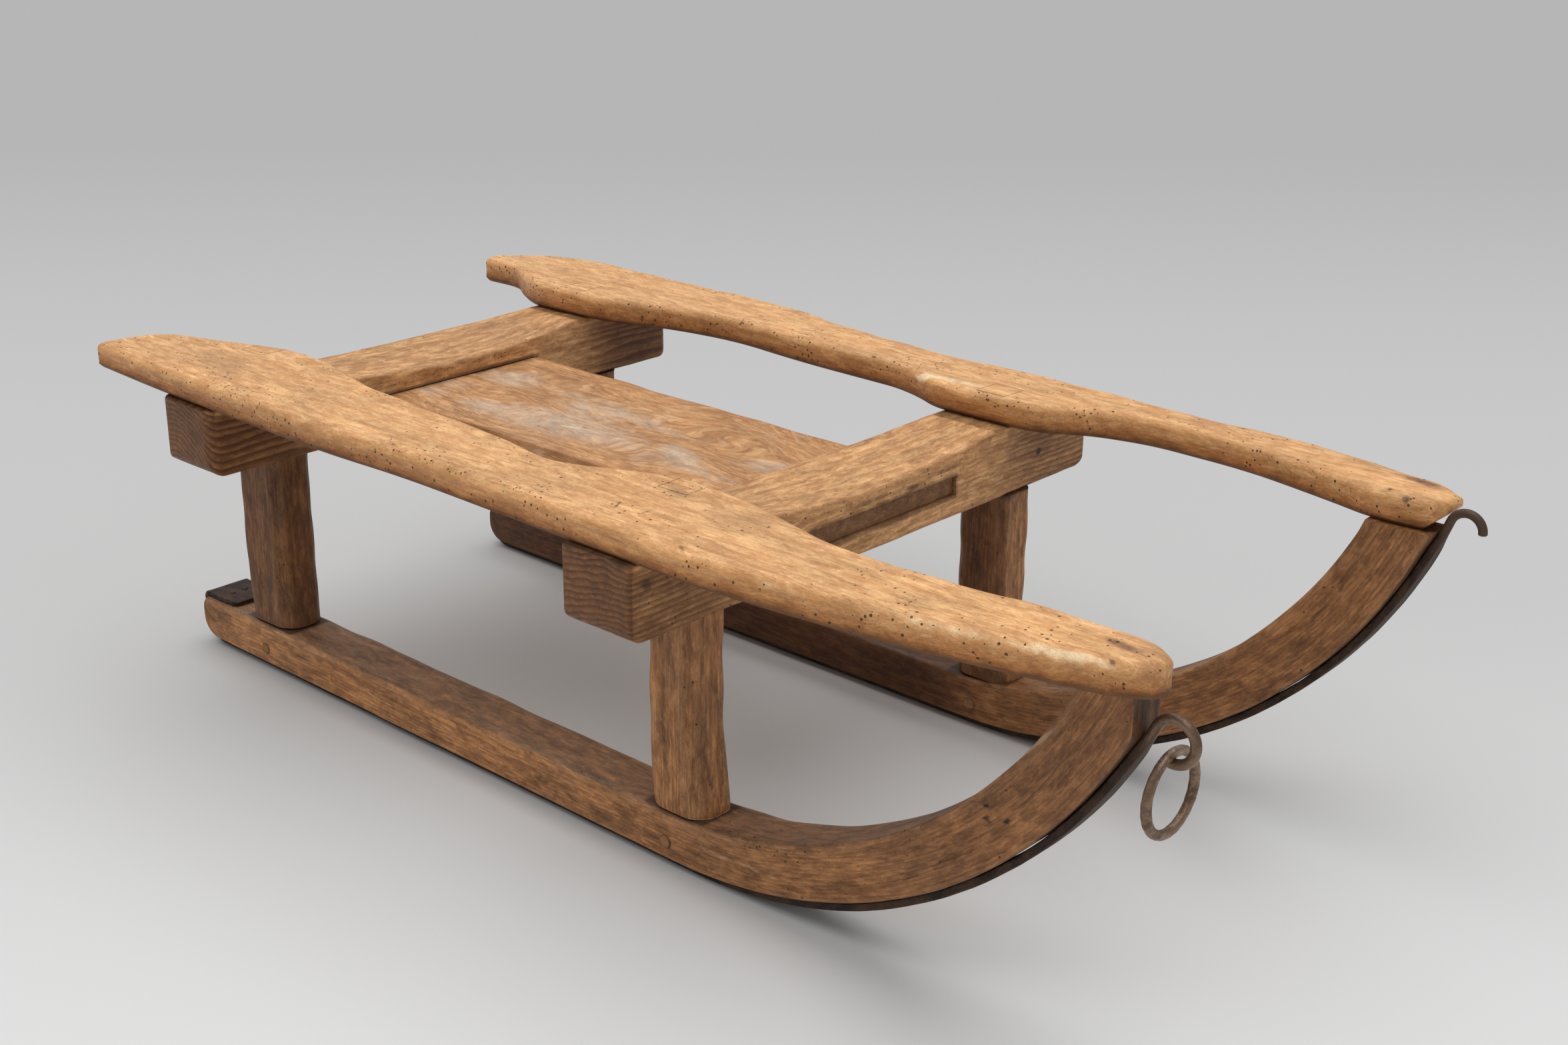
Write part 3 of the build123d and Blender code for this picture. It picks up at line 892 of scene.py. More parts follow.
@dataclass(frozen=True)
class WoodFinish:
    """A wooden finish. Colours are as a screen shows them; shares are 0 to 1 and sizes millimetres."""

    slot: str
    body: Colour
    deep: Colour
    pale: Colour
    patch: Colour
    edge: Colour
    stain_and_shade: Colour
    scuff: Colour
    gap: Colour = (44, 28, 18)
    hole: Colour = (54, 33, 20)
    ring_share: float = 0.35
    end_rings: float = 0.0
    ring_spacing: float = 2.8
    waver: float = 3.0
    fibre_share: float = 0.5
    patch_share: float = 0.35
    edge_share: float = 0.6
    # Share of the stain colour in the nooks, as grime and painted shade.
    grime_share: float = 0.7
    # Tint at end grain, down the rails' walls, outside the rails on the crossbeams, and as painted shade on
    # the runners and posts.
    end_tint: Colour = (1.0, 1.0, 1.0)
    clouds: float = 0.5
    blots: float = 0.5
    specks: float = 0.35
    worm_amount: float = 0.15
    worm_radius: float = 0.6
    line_share: float = 0.0
    line_round: float = 0.0
    half_along: float = SIZES.tenon_along
    half_across: float = SIZES.tenon_across
    skin_depth: float = 0.35
    roughness: float = 0.62

    def material(self) -> Material:
        """The finish as a material: grain first, then patches, worn arrises, marks, grime and painted shade
        in the nooks, a darker tint at ends and for painted shade, and holes.

        Returns:
            The material, named after its slot.
        """
        made, bench, shader = new_material(self.slot)
        grain = bench.attribute("grain")
        # nook brings grime and painted shade; end brings end grain, darker tones and painted shade.
        arris, nook, end = bench.parts(bench.attribute("wear"))
        dark, pale, grey = bench.parts(bench.attribute("marks"))
        rings = GrowthRings().place(bench, Grain=grain, Spacing=self.ring_spacing, Waver=self.waver)
        mottled = Mottled().place(bench, Grain=grain, Clouds=self.clouds, Blots=self.blots,
                                  Specks=self.specks)

        def broken(value: object, size: float, rough: float, low: float, high: float) -> Socket:
            """Mask of a soft value broken up by noise."""
            return RoughEdged().place(bench, Value=value, Place=grain, Size=size, Break=rough,
                                      Low=low, High=high)["Mask"]

        rubbed = broken(arris, 7.0, 1.5, 0.45, 0.95)
        # Grime and painted shade in the nooks.
        grime_and_shade = bench.product(broken(nook, 9.0, 0.9, 0.3, 0.95), self.grime_share)
        line = JointLine().place(bench, Joint=bench.attribute("joint"), Half_Along=self.half_along,
                                 Half_Across=self.half_across, Round=self.line_round, Width=0.55)["Line"]
        gap = bench.product(broken(line, 6.0, 1.6, 0.35, 0.8), self.line_share)
        ring_share = bench.total((end, self.end_rings), (1.0, self.ring_share))
        layers = (
            (bench.product(rings["Ring"], ring_share), self.deep),
            (bench.product(bench.step(rings["Fibre"], 0.42, 0.72), self.fibre_share), self.deep),
            (bench.product(broken(0.0, 46.0, 2.0, 0.02, 0.6), self.patch_share), self.patch),
            (bench.product(rubbed, self.edge_share), self.edge),
            (broken(pale, 5.0, 0.8, 0.3, 0.75), self.scuff),
            (bench.product(broken(grey, 6.0, 0.9, 0.25, 0.9), 0.75), self.patch),
            (broken(dark, 4.0, 0.7, 0.25, 0.9), self.stain_and_shade),
            (grime_and_shade, self.stain_and_shade),
            (bench.product(rings["Pore"], 0.4), self.stain_and_shade),
            (gap, self.gap),
        )
        streak = bench.step(bench.total((rings["Streak"], 0.6), (mottled["Blot"], 0.4)), 0.3, 0.72)
        colour = bench.mix(streak, linear(self.body), linear(self.pale))
        for share, tint in layers:
            colour = bench.mix(share, colour, linear(tint))
        # Darker tint at end grain, down the rails' walls, on the crossbeams outside the rails, and as painted
        # shade on the runners and posts.
        colour = bench.mix(end, colour, bench.mix(1.0, colour, (*self.end_tint, 1.0), "MULTIPLY"))
        colour = bench.times(colour, mottled["Factor"])
        reach = bench.math("POWER", bench.math("MAXIMUM", arris, 0.0), 0.4)
        worms = self.worm_amount
        amount = bench.total((reach, worms), (dark, 3.0 * worms), (1.0, 0.06 * worms))
        hole = WormHoles().place(bench, Place=grain, Amount=amount, Radius=self.worm_radius)["Hole"]
        colour = bench.mix(bench.product(hole, 0.88), colour, linear(self.hole))
        bench.feed(shader.inputs["Base Color"], colour)

        gloss = bench.total((rings["Fibre"], 0.16), (rubbed, -0.1), (grime_and_shade, 0.12),
                            (1.0, self.roughness - 0.06))
        bench.feed(shader.inputs["Roughness"], gloss)
        shader.inputs["Specular IOR Level"].default_value = 0.32
        skin = HewnSkin().place(bench, Place=grain, Fibre=rings["Fibre"], Ring=mottled["Blot"],
                                Depth=self.skin_depth)["Height"]
        height = bench.total((skin, 1.0), (hole, -0.9), (gap, -0.5), (rings["Pore"], -0.06))
        bump = bench.node("ShaderNodeBump", {"Height": height, "Strength": 1.0, "Distance": MM})
        bench.feed(shader.inputs["Normal"], bump.outputs[0])
        return made


@dataclass(frozen=True)
class IronFinish:
    """Forged iron, dark where it keeps its scale, brown where it has rusted and bright where it rubs."""

    slot: str = "forged_iron"
    scale: Colour = (46, 38, 33)
    rust: Colour = (80, 57, 42)
    bright: Colour = (186, 164, 144)
    bare: Colour = (150, 122, 98)
    worn: Colour = (84, 62, 46)
    grime: Colour = (30, 24, 20)
    roughness: float = 0.58

    def material(self) -> Material:
        """The finish as a material: scale and rust, bare iron, bright edges, and grime in the nooks.

        Returns:
            The material, named after its slot.
        """
        made, bench, shader = new_material(self.slot)
        edge, nook, bare = bench.parts(bench.attribute("wear"))
        skin = IronSkin().place(bench, Place=bench.attribute("grain"), Edge=edge)
        rust = skin["Rust"]
        bright = bench.product(skin["Bright"], bench.step(nook, 0.2, 0.9, 1.0, 0.2))
        colour = bench.mix(rust, linear(self.scale), linear(self.rust))
        bare_iron = bench.mix(rust, linear(self.bare), linear(self.worn))
        colour = bench.mix(bench.product(bare, 0.85), colour, bare_iron)
        colour = bench.mix(bright, colour, linear(self.bright))
        colour = bench.mix(bench.product(nook, 0.7), colour, linear(self.grime))
        metal = bench.total((rust, -0.45), (bright, 0.1), (1.0, 0.75))
        gloss = bench.total((rust, 0.22), (bright, -0.1), (bare, -0.3), (1.0, self.roughness))
        bump = bench.node("ShaderNodeBump", {"Height": skin["Height"], "Strength": 0.8, "Distance": MM})
        for name, value in (("Base Color", colour), ("Metallic", metal), ("Roughness", gloss),
                            ("Normal", bump.outputs[0])):
            bench.feed(shader.inputs[name], value)
        return made


RAIL_FINISH = WoodFinish(
    slot="waxed_wood", body=(222, 163, 105), deep=(164, 106, 58), pale=(242, 192, 134), patch=(184, 136, 92),
    edge=(190, 134, 80), stain_and_shade=(84, 56, 38), scuff=(246, 216, 174), ring_share=0.14, ring_spacing=3.4,
    waver=6.0, fibre_share=0.5, patch_share=0.42, edge_share=0.45, end_tint=(0.54, 0.4, 0.27), clouds=0.36,
    blots=0.27, specks=0.52, worm_amount=1.0, worm_radius=0.74, line_share=0.8, skin_depth=0.45,
    roughness=0.5,
)
SEAT_FINISH = WoodFinish(
    slot="board_wood", body=(192, 138, 88), deep=(150, 94, 52), pale=(212, 164, 114), patch=(200, 178, 156),
    edge=(176, 122, 76), stain_and_shade=(78, 52, 36), scuff=(224, 216, 204), ring_share=0.5, ring_spacing=7.0,
    waver=22.0, fibre_share=0.3, patch_share=0.85, clouds=0.42, blots=0.42, specks=0.4, worm_amount=0.1,
    skin_depth=0.42, roughness=0.58,
)
BEAM_FINISH = WoodFinish(
    slot="beam_wood", body=(200, 145, 92), deep=(132, 84, 48), pale=(224, 174, 120), patch=(150, 106, 70),
    edge=(168, 118, 74), stain_and_shade=(56, 37, 25), scuff=(228, 188, 142), ring_share=0.24, end_rings=0.75,
    ring_spacing=4.0, waver=3.0, fibre_share=0.45, patch_share=0.4, edge_share=0.4,
    end_tint=(0.36, 0.29, 0.22), clouds=0.42, blots=0.52, specks=0.5, worm_amount=0.35, skin_depth=0.5,
    roughness=0.54,
)
RUNNER_FINISH = WoodFinish(
    slot="dark_wood", body=(166, 112, 69), deep=(102, 64, 36), pale=(192, 136, 86), patch=(108, 84, 66),
    edge=(180, 132, 88), stain_and_shade=(44, 30, 21), scuff=(206, 170, 132), ring_share=0.3, ring_spacing=3.0,
    waver=4.0, fibre_share=0.5, patch_share=0.6, edge_share=0.35, end_tint=(0.26, 0.21, 0.165), clouds=0.66,
    blots=0.72, specks=0.52, worm_amount=0.35, line_share=0.5, line_round=1.0,
    half_along=SIZES.peg_radius + 0.3, half_across=SIZES.peg_radius + 0.3, skin_depth=0.5, roughness=0.54,
)
PEG_FINISH = WoodFinish(
    slot="peg_wood", body=(136, 94, 60), deep=(96, 64, 40), pale=(160, 116, 76), patch=(104, 76, 54),
    edge=(150, 108, 72), stain_and_shade=(50, 34, 23), scuff=(170, 130, 94), ring_spacing=1.2, worm_amount=0.0,
)
IRON_FINISH = IronFinish()


# Wooden pieces


@dataclass
class Rail:
    """A rail: a board with a wavy outline, worn top edges and a square foot on the crossbeams.

    The outline's shares count spans along the rail, 0 at its rear tip, 1 at the rear post, 2 at the
    front post and 3 at its front tip, and go from 0 at the inner reach to 1 at the crossbeams' ends.
    """

    side: Side
    shares: tuple[tuple[float, float], ...]
    marks: tuple[Mark, ...]
    seed: int
    undercut: float = 0.0
    arris: float = 8.0
    inner_arris: float = 6.5
    inner_reach: float = 130.0
    share_stations: tuple[float, ...] = (-32.0, 90.0, 532.5, 891.92)
    round_share: float = 0.44
    foot_arris: float = 2.6

    EDGE_STEPS: ClassVar[tuple[float, ...]] = (0, 0.12, 0.5, 1.1, 1.9, 3.0, 4.3, 5.8, 7.6, 10.0, 13.5)

    def outline(self) -> Array:
        """Closed outline, (n, 2), as station and distance from the sled's middle.

        Each corner of the polygon gives way to a quadratic curve whose ends lie a share of the shorter
        run beside it from the corner.

        Returns:
            The points of the outline.
        """
        shares = np.array(self.shares)
        station = np.interp(shares[:, 0], np.arange(4), self.share_stations)
        across = self.inner_reach + shares[:, 1] * (SIZES.beam_half - self.inner_reach)
        corners = stacked(station, across)
        runs = np.linalg.norm(np.roll(corners, -1, axis=0) - corners, axis=1)
        cuts = self.round_share * np.minimum(runs, np.roll(runs, 1))
        ring, _ = rounded_ring(corners[None], cuts[None], 24, [14] * len(corners))
        rear_end = self.share_stations[0] + 3.1
        return stacked(np.maximum(ring[0, :, 0], rear_end), ring[0, :, 1])

    def edges(self, outline: Array, stations: Array) -> tuple[Array, Array]:
        """Distances of the inner and the outer edge from the sled's middle at each station.

        Args:
            outline: Points of the outline, (n, 2).
            stations: Stations of the sections, (m,).

        Returns:
            The inner and the outer distances, each (m,).
        """
        rear, front = outline[:, 0].argmin(), outline[:, 0].argmax()
        turned = np.roll(outline, -rear, axis=0)
        split = (front - rear) % len(outline)
        chains = []
        for chain in (turned[:split + 1], np.concatenate([turned[split:], turned[:1]])[::-1]):
            forward = np.maximum.accumulate(chain[:, 0]) + np.arange(len(chain)) * 1e-7
            chains.append(np.interp(stations, forward, chain[:, 1]))
        return np.minimum(*chains), np.maximum(*chains)

    def stations(self, outline: Array) -> Array:
        """Stations of the sections, close together towards both tips.

        Args:
            outline: Points of the outline, (n, 2).

        Returns:
            The stations, (m,).
        """
        low, high = outline[:, 0].min(), outline[:, 0].max()
        near = 30.0 * np.linspace(0, 1, 34, endpoint=False) ** 2
        middle = np.linspace(low + 30.0, high - 30.0, 330, endpoint=False)
        return np.concatenate([low + near, middle, (high - near)[::-1]])

    def bevel(self, distance: Array, width: Array) -> Array:
        """How far the top drops at a distance from the outline: an upright quarter of an ellipse."""
        past = np.clip(1 - distance / width, 0, 1)
        return 0.92 * width * (1 - np.sqrt(1 - past ** 2))

    def form(self) -> Form:
        """Sections across the rail, each going over the top, down the outer side, back and up again.

        Returns:
            The form, with the posts' tenons as the joints of its top.
        """
        outline = self.outline()
        stations = self.stations(outline)
        inner, outer = self.edges(outline, stations)
        half = (outer - inner) / 2
        steps = np.array(self.EDGE_STEPS)[None] * np.minimum(1, half / 17.0)[:, None]
        between = np.linspace(0, 1, 16)[1:-1]
        first, last = inner[:, None] + steps, (outer[:, None] - steps)[:, ::-1]
        middle = first[:, -1:] + (last[:, :1] - first[:, -1:]) * between
        top_y = np.concatenate([first, middle, last], axis=1)
        top_x = spread(stations, top_y.shape[1])

        plan = stacked(top_x, top_y)
        distance = to_outline(plan, outline)
        inward = ease(outer[:, None] - top_y, 12, 30)
        width = self.arris + (self.inner_arris - self.arris) * inward
        width = width * (0.75 + 0.45 * ripple_share(plan, 45, self.seed))
        width = width * (0.6 + 0.4 * ease(half, 2, 15))[:, None]
        drop = self.bevel(distance, width)
        sway = ripple_share(plan / np.array([2.5, 1]), 60, self.seed + 1)
        top_z = SIZES.rail_top - drop - 0.5 * sway * ease(distance, 0, 12)

        wall = np.linspace(0, 1, 7)[1:-1][None]
        foot = SIZES.rail_seat + SIZES.joint_gap
        arris = np.minimum(self.foot_arris, half * 0.8)[:, None]

        def side(edge: Array, top: Array, inward: float) -> tuple[Array, Array]:
            """Side of the board from its top edge to its foot, with a small arris below.

            Args:
                edge: Distances of the side from the sled's middle, (n,).
                top: Heights of its top edge, (n,).
                inward: Sign of the way into the board.

            Returns:
                Distances from the middle and heights, each (n, k).
            """
            low = foot + arris
            height = top[:, None] + (low - top[:, None]) * wall
            there = stacked(spread(stations, wall.shape[1]), height * 2.0)
            hollow = 0.55 * ripple_share(there, 34, self.seed + 5) * np.minimum(1, half / 10)[:, None]
            rows = edge[:, None] + inward * hollow
            return (np.concatenate([rows, edge[:, None], edge[:, None] + inward * arris], axis=1),
                    np.concatenate([height, low, np.full_like(low, foot)], axis=1))

        outer_y, outer_z = side(outer, top_z[:, -1], -1)
        inner_y, inner_z = side(inner, top_z[:, 0], 1)
        under = np.linspace(0, 1, 10)[1:-1][None]
        under_y = outer_y[:, -1:] + (inner_y[:, -1:] - outer_y[:, -1:]) * under
        across = np.concatenate([top_y, outer_y, under_y, inner_y[:, ::-1]], axis=1)
        height = np.concatenate([top_z, outer_z, np.full_like(under_y, foot), inner_z[:, ::-1]], axis=1)
        station = spread(stations, across.shape[1])
        if self.undercut:
            limit = self.share_stations[-1] - self.undercut + 1.12 * (height - SIZES.rail_seat)
            limit = np.minimum(limit, self.share_stations[-1] - 1.8)
            limit = limit - 3.5 * ease(height, SIZES.rail_top - 8, SIZES.rail_top) ** 2
            station = np.minimum(station, limit)

        rings = stacked(station, self.side.value * across, height)
        outer_drop, inner_drop = np.abs(top_z[:, -1:] - outer_z), np.abs(top_z[:, :1] - inner_z)
        edge = np.concatenate([near_zero(distance - 2.0, 5.0), near_zero(outer_drop, 5.0), under_y * 0,
                               near_zero(inner_drop, 5.0)[:, ::-1]], axis=1)
        # The walls' foot darkens as grime and painted shade, and the wood darkens down the walls and at the
        # tips.
        nook = near_zero(height - SIZES.rail_seat - 2.0, 5.0)
        turned_down = ease(SIZES.rail_top - height, 2.5, 15.0)
        wear = stacked(edge, nook, turned_down)
        grain = rings - np.array([self.seed * 977.0, self.side.value * 150.0, 170.0])
        posts = np.array([post.station for post in posts_on(self.side)])
        nearest = posts[np.abs(station[..., None] - posts).argmin(axis=-1)]
        on_top = (height > SIZES.rail_top - 2.5)[..., None]
        joint = stacked(station - nearest, across - SIZES.track_half, height * 0)
        upper = ease(height, SIZES.rail_top - 10, SIZES.rail_top - 4)[..., None]
        return Form.from_rings(rings, grain, wear, np.where(on_top, joint, FAR_OFF),
                               marks_over(self.marks, station, across) * upper)

    def place(self, material: Material) -> None:
        """The rail as a piece in place of its node."""
        name = self.side.name.lower()
        Piece(f"{name}_rail", self.form().outward(), material, RAIL_FINISH.slot, (f"rail_{name}",)).place()


@dataclass
class Runner:
    """A runner: a straight squared pole whose front bends up to the rail and narrows towards it."""

    side: Side
    marks: tuple[Mark, ...]
    seed: int
    toe_cut: float = 0.0
    # Share of painted shade, with some grime, on the inner side and the top.
    shade: float = 0.0
    width: float = 42.0
    toe_width: float = 26.0
    arris: float = 4.5
    low_arris: float = 1.8
    heel_radius: float = 15.0
    heel_top_radius: float = 6.0
    heel: float = 5.7
    straight_end: float = 600.0
    upturn: float = 700.0
    top_end: float = 760.0
    shade_break: float = 570.0
    shade_end: float = 820.0

    def curves(self) -> tuple[Array, Array]:
        """Underside and top in the side view, matched point by point.

        The heel is a quarter circle below and a small one above, the middle is straight, and the bend
        runs along two arcs at the same share of their turns.

        Returns:
            Stations and heights of the underside and of the top, each (n, 2).
        """
        size, straight = SIZES, self.heel + self.heel_radius
        turn = np.linspace(0, math.pi / 2, 22, endpoint=False)
        station = self.heel + self.heel_radius * (1 - np.cos(turn))
        below = stacked(station, size.runner_bottom + self.heel_radius * (1 - np.sin(turn)))
        top = size.runner_top - fallen(station - self.heel, self.heel_top_radius)
        above = stacked(station, top)
        low = line_points((straight, size.runner_bottom), (size.bend_station, size.runner_bottom), 170)
        high = line_points((straight, size.runner_top), (size.top_bend_station, size.runner_top), 170)
        toe_turn = math.degrees(math.asin((size.wood_tip - size.bend_station) / size.bend_radius))
        run, rise = size.wood_top_tip - size.top_bend_station, size.tip_height - size.runner_top
        top_radius = (run ** 2 + rise ** 2) / (2 * rise)
        top_turn = math.degrees(math.asin(run / top_radius))
        low_middle = (size.bend_station, size.bend_height)
        high_middle = (size.top_bend_station, size.runner_top + top_radius)
        low_bend = arc_points(low_middle, size.bend_radius, -90, toe_turn - 90, 150, True)
        high_bend = arc_points(high_middle, top_radius, -90, top_turn - 90, 150, True)
        return np.concatenate([below, low, low_bend]), np.concatenate([above, high, high_bend])

    def nook(self, rings: Array, up: Array) -> Array:
        """Nearness to the posts' feet and to the shoe, and a fainter one to the rail: by distance.

        Args:
            rings: Points of the sections, (n, m, 3).
            up: Their heights above the underside, (n, m).

        Returns:
            A share for each point.
        """
        station, height = rings[..., 0], rings[..., 2]
        posts = posts_on(self.side)
        middles = np.array([post.station + post.flare / 2 for post in posts])
        halves = np.array([(post.depth + post.flare) / 2 for post in posts])
        beyond = (np.abs(station[..., None] - middles) - halves).min(axis=-1)
        aside = np.abs(rings[..., 1] - self.side.value * SIZES.track_half) - 17
        past = np.hypot(np.maximum(beyond, 0), np.maximum(aside, 0))
        by_post = near_zero(past - 0.5, 2.6) * (height > SIZES.runner_top - 3) * (station < self.straight_end)
        by_rail = 0.4 * near_zero(SIZES.rail_seat - 2 - height, 6) * (station > self.upturn)
        return np.maximum(np.maximum(by_post, by_rail), near_zero(up, 1.6) * 0.8)

    def darkness(self, rings: Array, on_top: Array, along: Array) -> Array:
        """How dark the wood is: painted shade, with some grime, on its inner side and its top as its shade
        says, and the bend and the heel a little.

        Args:
            rings: Points of the sections, (n, m, 3).
            on_top: How much each point belongs to the top, (n, m).
            along: Their distances along the runner, (n, m).

        Returns:
            A share for each point.
        """
        station, inwards = rings[..., 0], self.side.value * SIZES.track_half - rings[..., 1]
        inner = np.maximum(ease(inwards * self.side.value, 8, 19), on_top)
        behind_post = 0.4 + 0.6 * ease(self.shade_break - station, 0, 70)
        # Painted shade under the sled, weaker from the front post on and gone towards the bend.
        shaded = self.shade * inner * behind_post * ease(self.shade_end - station, 0, 160)
        bend = 0.42 * ease(station, 520, self.top_end)
        return np.maximum(np.maximum(shaded, bend), 0.4 * near_zero(along, 20))

    def form(self) -> Form:
        """Rounded four-sided sections between the two curves, pressed in by the marks of the blade.

        Returns:
            The form, with the pegs' ends as its joints.
        """
        low, high = self.curves()
        height = np.linalg.norm(high - low, axis=1)
        half = np.full_like(height, self.width / 2)
        run = run_along((low + high) / 2)
        sway = ripple(run[:, None], 70, self.seed)
        top_cut, low_cut = self.arris * (1 + 0.25 * sway), np.full_like(sway, self.low_arris)
        cuts = np.stack([low_cut, low_cut, top_cut, top_cut], axis=1)
        ring, corner = rounded_ring(box_corners(half, 0 * half, height), cuts, 7, (9, 12, 12, 12))
        up = ring[..., 1]
        rise = (up / height[:, None])[..., None]
        spot = low[:, None] * (1 - rise) + high[:, None] * rise
        toe = SIZES.wood_tip - self.toe_cut if self.toe_cut else SIZES.wood_tip + 10
        narrow = np.clip((spot[..., 0] - SIZES.top_bend_station) / (toe - SIZES.top_bend_station), 0, 1)
        across = ring[..., 0] * (1 - (1 - self.toe_width / self.width) * narrow)
        track = self.side.value * SIZES.track_half
        rings = stacked(spot[..., 0], track + across, spot[..., 1])
        along = spread(run, ring.shape[1])
        skin = stacked(along / 3.0, rings[..., 1], up)
        depth = worked(skin, self.seed + 1, (0.45, 26), (0.2, 9))
        rings = pressed_in(rings, depth * ease(along, 0, 12) * ease(run[-1] - along, 0, 10))
        rings[..., 0] = np.minimum(rings[..., 0], SIZES.wood_tip - self.toe_cut)

        on_top = ease(up - height[:, None], -3, -0.6) * (rings[..., 0] < self.top_end)
        # The nooks darken as grime and painted shade, and the darkness adds painted shade on the inner side
        # and top.
        wear = stacked(corner, self.nook(rings, up), self.darkness(rings, on_top, along))
        grain = stacked(along + self.seed * 811.0, rings[..., 1] - track + 14.0, up + 16.0)
        pegs = np.array([post.station for post in posts_on(self.side)])
        nearest = pegs[np.abs(rings[..., None, 0] - pegs).argmin(axis=-1)]
        joint = stacked(rings[..., 0] - nearest, rings[..., 2] - SIZES.peg_height, 0 * up)
        marks = marks_over(self.marks, rings[..., 0], rings[..., 2])
        marks[..., 2] = np.maximum(marks[..., 2], 0.75 * (1 - self.shade) * on_top)
        return Form.from_rings(rings, grain, wear, joint, marks, ends=5)

    def place(self, material: Material) -> None:
        """The runner as a piece in place of its node."""
        name, form = self.side.name.lower(), self.form().outward()
        Piece(f"{name}_runner", form, material, RUNNER_FINISH.slot, (f"runner_{name}",)).place()


@dataclass
class Crossbeam:
    """A crossbeam: hollowed on top between the rails, slotted through for the seat board."""

    at: Frame
    station: float
    depth: float
    marks: tuple[Mark, ...]
    heart: tuple[float, float]
    seed: int
    left_reach: float = 230.0
    arris: float = 3.0
    tone: float = 0.6
    end_radius: float = 11.0
    scoop_front: float = 9.0
    scoop_rear: float = 1.5
    scoop_half: float = 118.0
    front_cut: float = 2.6
    rear_cut: float = 2.0
    foot_cut: float = 2.0

    LOWER_ROWS: ClassVar[int] = 9
    SLOT_ROWS: ClassVar[int] = 6
    UPPER_ROWS: ClassVar[int] = 8
    CURVE_ROWS: ClassVar[int] = 6
    TOP_ROWS: ClassVar[int] = 18
    FOOT_ROWS: ClassVar[int] = 10

    def stations_across(self) -> Array:
        """Distances to the left of the sections: evenly, then at the steps of a quarter circle to each end.

        Returns:
            The distances, (n,), two of which are exactly at the slot's ends.
        """
        slot = SIZES.seat_half + SIZES.joint_gap
        close = self.end_radius * (1 - np.cos(np.linspace(0, math.pi / 2, 16)))
        inset = np.union1d(close, np.array([0, 0.12, 0.4, 0.9, 1.6]))[::-1]
        wings = [np.concatenate([np.linspace(slot, reach - inset[0], 58, endpoint=False), reach - inset])
                 for reach in (SIZES.beam_half, self.left_reach)]
        return np.concatenate([-wings[0][::-1], np.linspace(-slot, slot, 75)[1:-1], wings[1]])

    def to_end(self, across: Array) -> Array:
        """Distance to the nearer end of the beam."""
        return np.where(across > 0, self.left_reach, SIZES.beam_half) - np.abs(across)

    def top(self, station: Array, across: Array) -> Array:
        """Height of the top: a parabola across the sled, deeper towards the front face.

        Args:
            station: Stations of the places.
            across: Their distances to the left.

        Returns:
            A height for each place.
        """
        share = (station - (self.station - self.depth / 2)) / self.depth
        sink = self.scoop_rear + (self.scoop_front - self.scoop_rear) * share
        bowl = np.clip(1 - (across / self.scoop_half) ** 2, 0, 1)
        return SIZES.rail_seat - sink * bowl

    def face(self, low: Array, high: Array) -> Array:
        """Heights of the points up a face: even steps below, along and above the slot.

        Args:
            low: Lowest height of each section, (n, 1).
            high: Highest height of each section, (n, 1).

        Returns:
            The heights, (n, m), with rows exactly at the slot's edges.
        """
        slot_low, slot_high = SIZES.seat_bottom - SIZES.joint_gap, SIZES.seat_top + SIZES.joint_gap
        spans = ((low, slot_low, self.LOWER_ROWS), (slot_low + 0 * low, slot_high, self.SLOT_ROWS),
                 (slot_high, high, self.UPPER_ROWS))
        rows = [start + (end - start) * np.linspace(0, 1, count, endpoint=False)
                for start, end, count in spans]
        return np.concatenate(rows + [high], axis=1)

    def rings(self) -> tuple[Array, Array]:
        """Sections across the sled: up the front face, over the top, down the rear face and back below.

        The corners between them are quadratic curves, and the ends are rounded by quarter circles.

        Returns:
            The points of the sections (n, m, 3), and their nearness to an arris (n, m).
        """
        across = self.stations_across()[:, None]
        gap, cut = self.to_end(across), self.foot_cut
        inset = fallen(gap, self.arris)
        front, rear = self.station + self.depth / 2 - inset, self.station - self.depth / 2 + inset
        foot = SIZES.beam_bottom + fallen(gap, self.end_radius)
        free = ease(SIZES.track_half - 20 - np.abs(across), 0, 25)
        worn = self.front_cut * (1 + 0.9 * free * ripple_share(across, 30, self.seed)[:, None])
        fall = np.minimum(inset, 3.0) * 0.4
        front_top, rear_top = self.top(front, across) - fall, self.top(rear, across) - fall
        after, before = front - worn, rear + self.rear_cut
        top_x = after + (before - after) * np.linspace(0, 1, self.TOP_ROWS)
        top_z = self.top(top_x, across) - fall
        foot_x = rear + cut + (front - rear - 2 * cut) * np.linspace(0, 1, self.FOOT_ROWS)
        bend = np.linspace(0, 1, self.CURVE_ROWS + 2)[1:-1]

        def corner(start: tuple[Array, Array], middle: tuple[Array, Array],
                   end: tuple[Array, Array]) -> tuple[Array, Array]:
            """Stations and heights round a corner."""
            return tuple(bent(*places, bend) for places in zip(start, middle, end))

        parts = (
            (front, self.face(foot + cut, front_top - worn)),
            corner((front, front_top - worn), (front, front_top), (after, top_z[:, :1])),
            (top_x, top_z),
            corner((before, top_z[:, -1:]), (rear, rear_top), (rear, rear_top - self.rear_cut)),
            (rear, self.face(foot + cut, rear_top - self.rear_cut)[:, ::-1]),
            corner((rear, foot + cut), (rear, foot), (rear + cut, foot)),
            (foot_x, foot),
            corner((front - cut, foot), (front, foot), (front, foot + cut)),
        )
        section = np.concatenate([stacked(*np.broadcast_arrays(*part)) for part in parts], axis=1)
        station, height = section[..., 0], section[..., 1]
        rings = stacked(station, spread(across[:, 0], station.shape[1]), height)
        to_face = np.minimum(front - station, station - rear)
        to_level = np.minimum(self.top(station, across) - height, height - foot)
        edge = near_zero(np.maximum(to_face, to_level) - 1.5, 3.5)
        end_edge = near_zero(gap - 1.0, 3.0) * near_zero(np.minimum(to_face, to_level), 2.5)
        return rings, np.maximum(edge, end_edge)

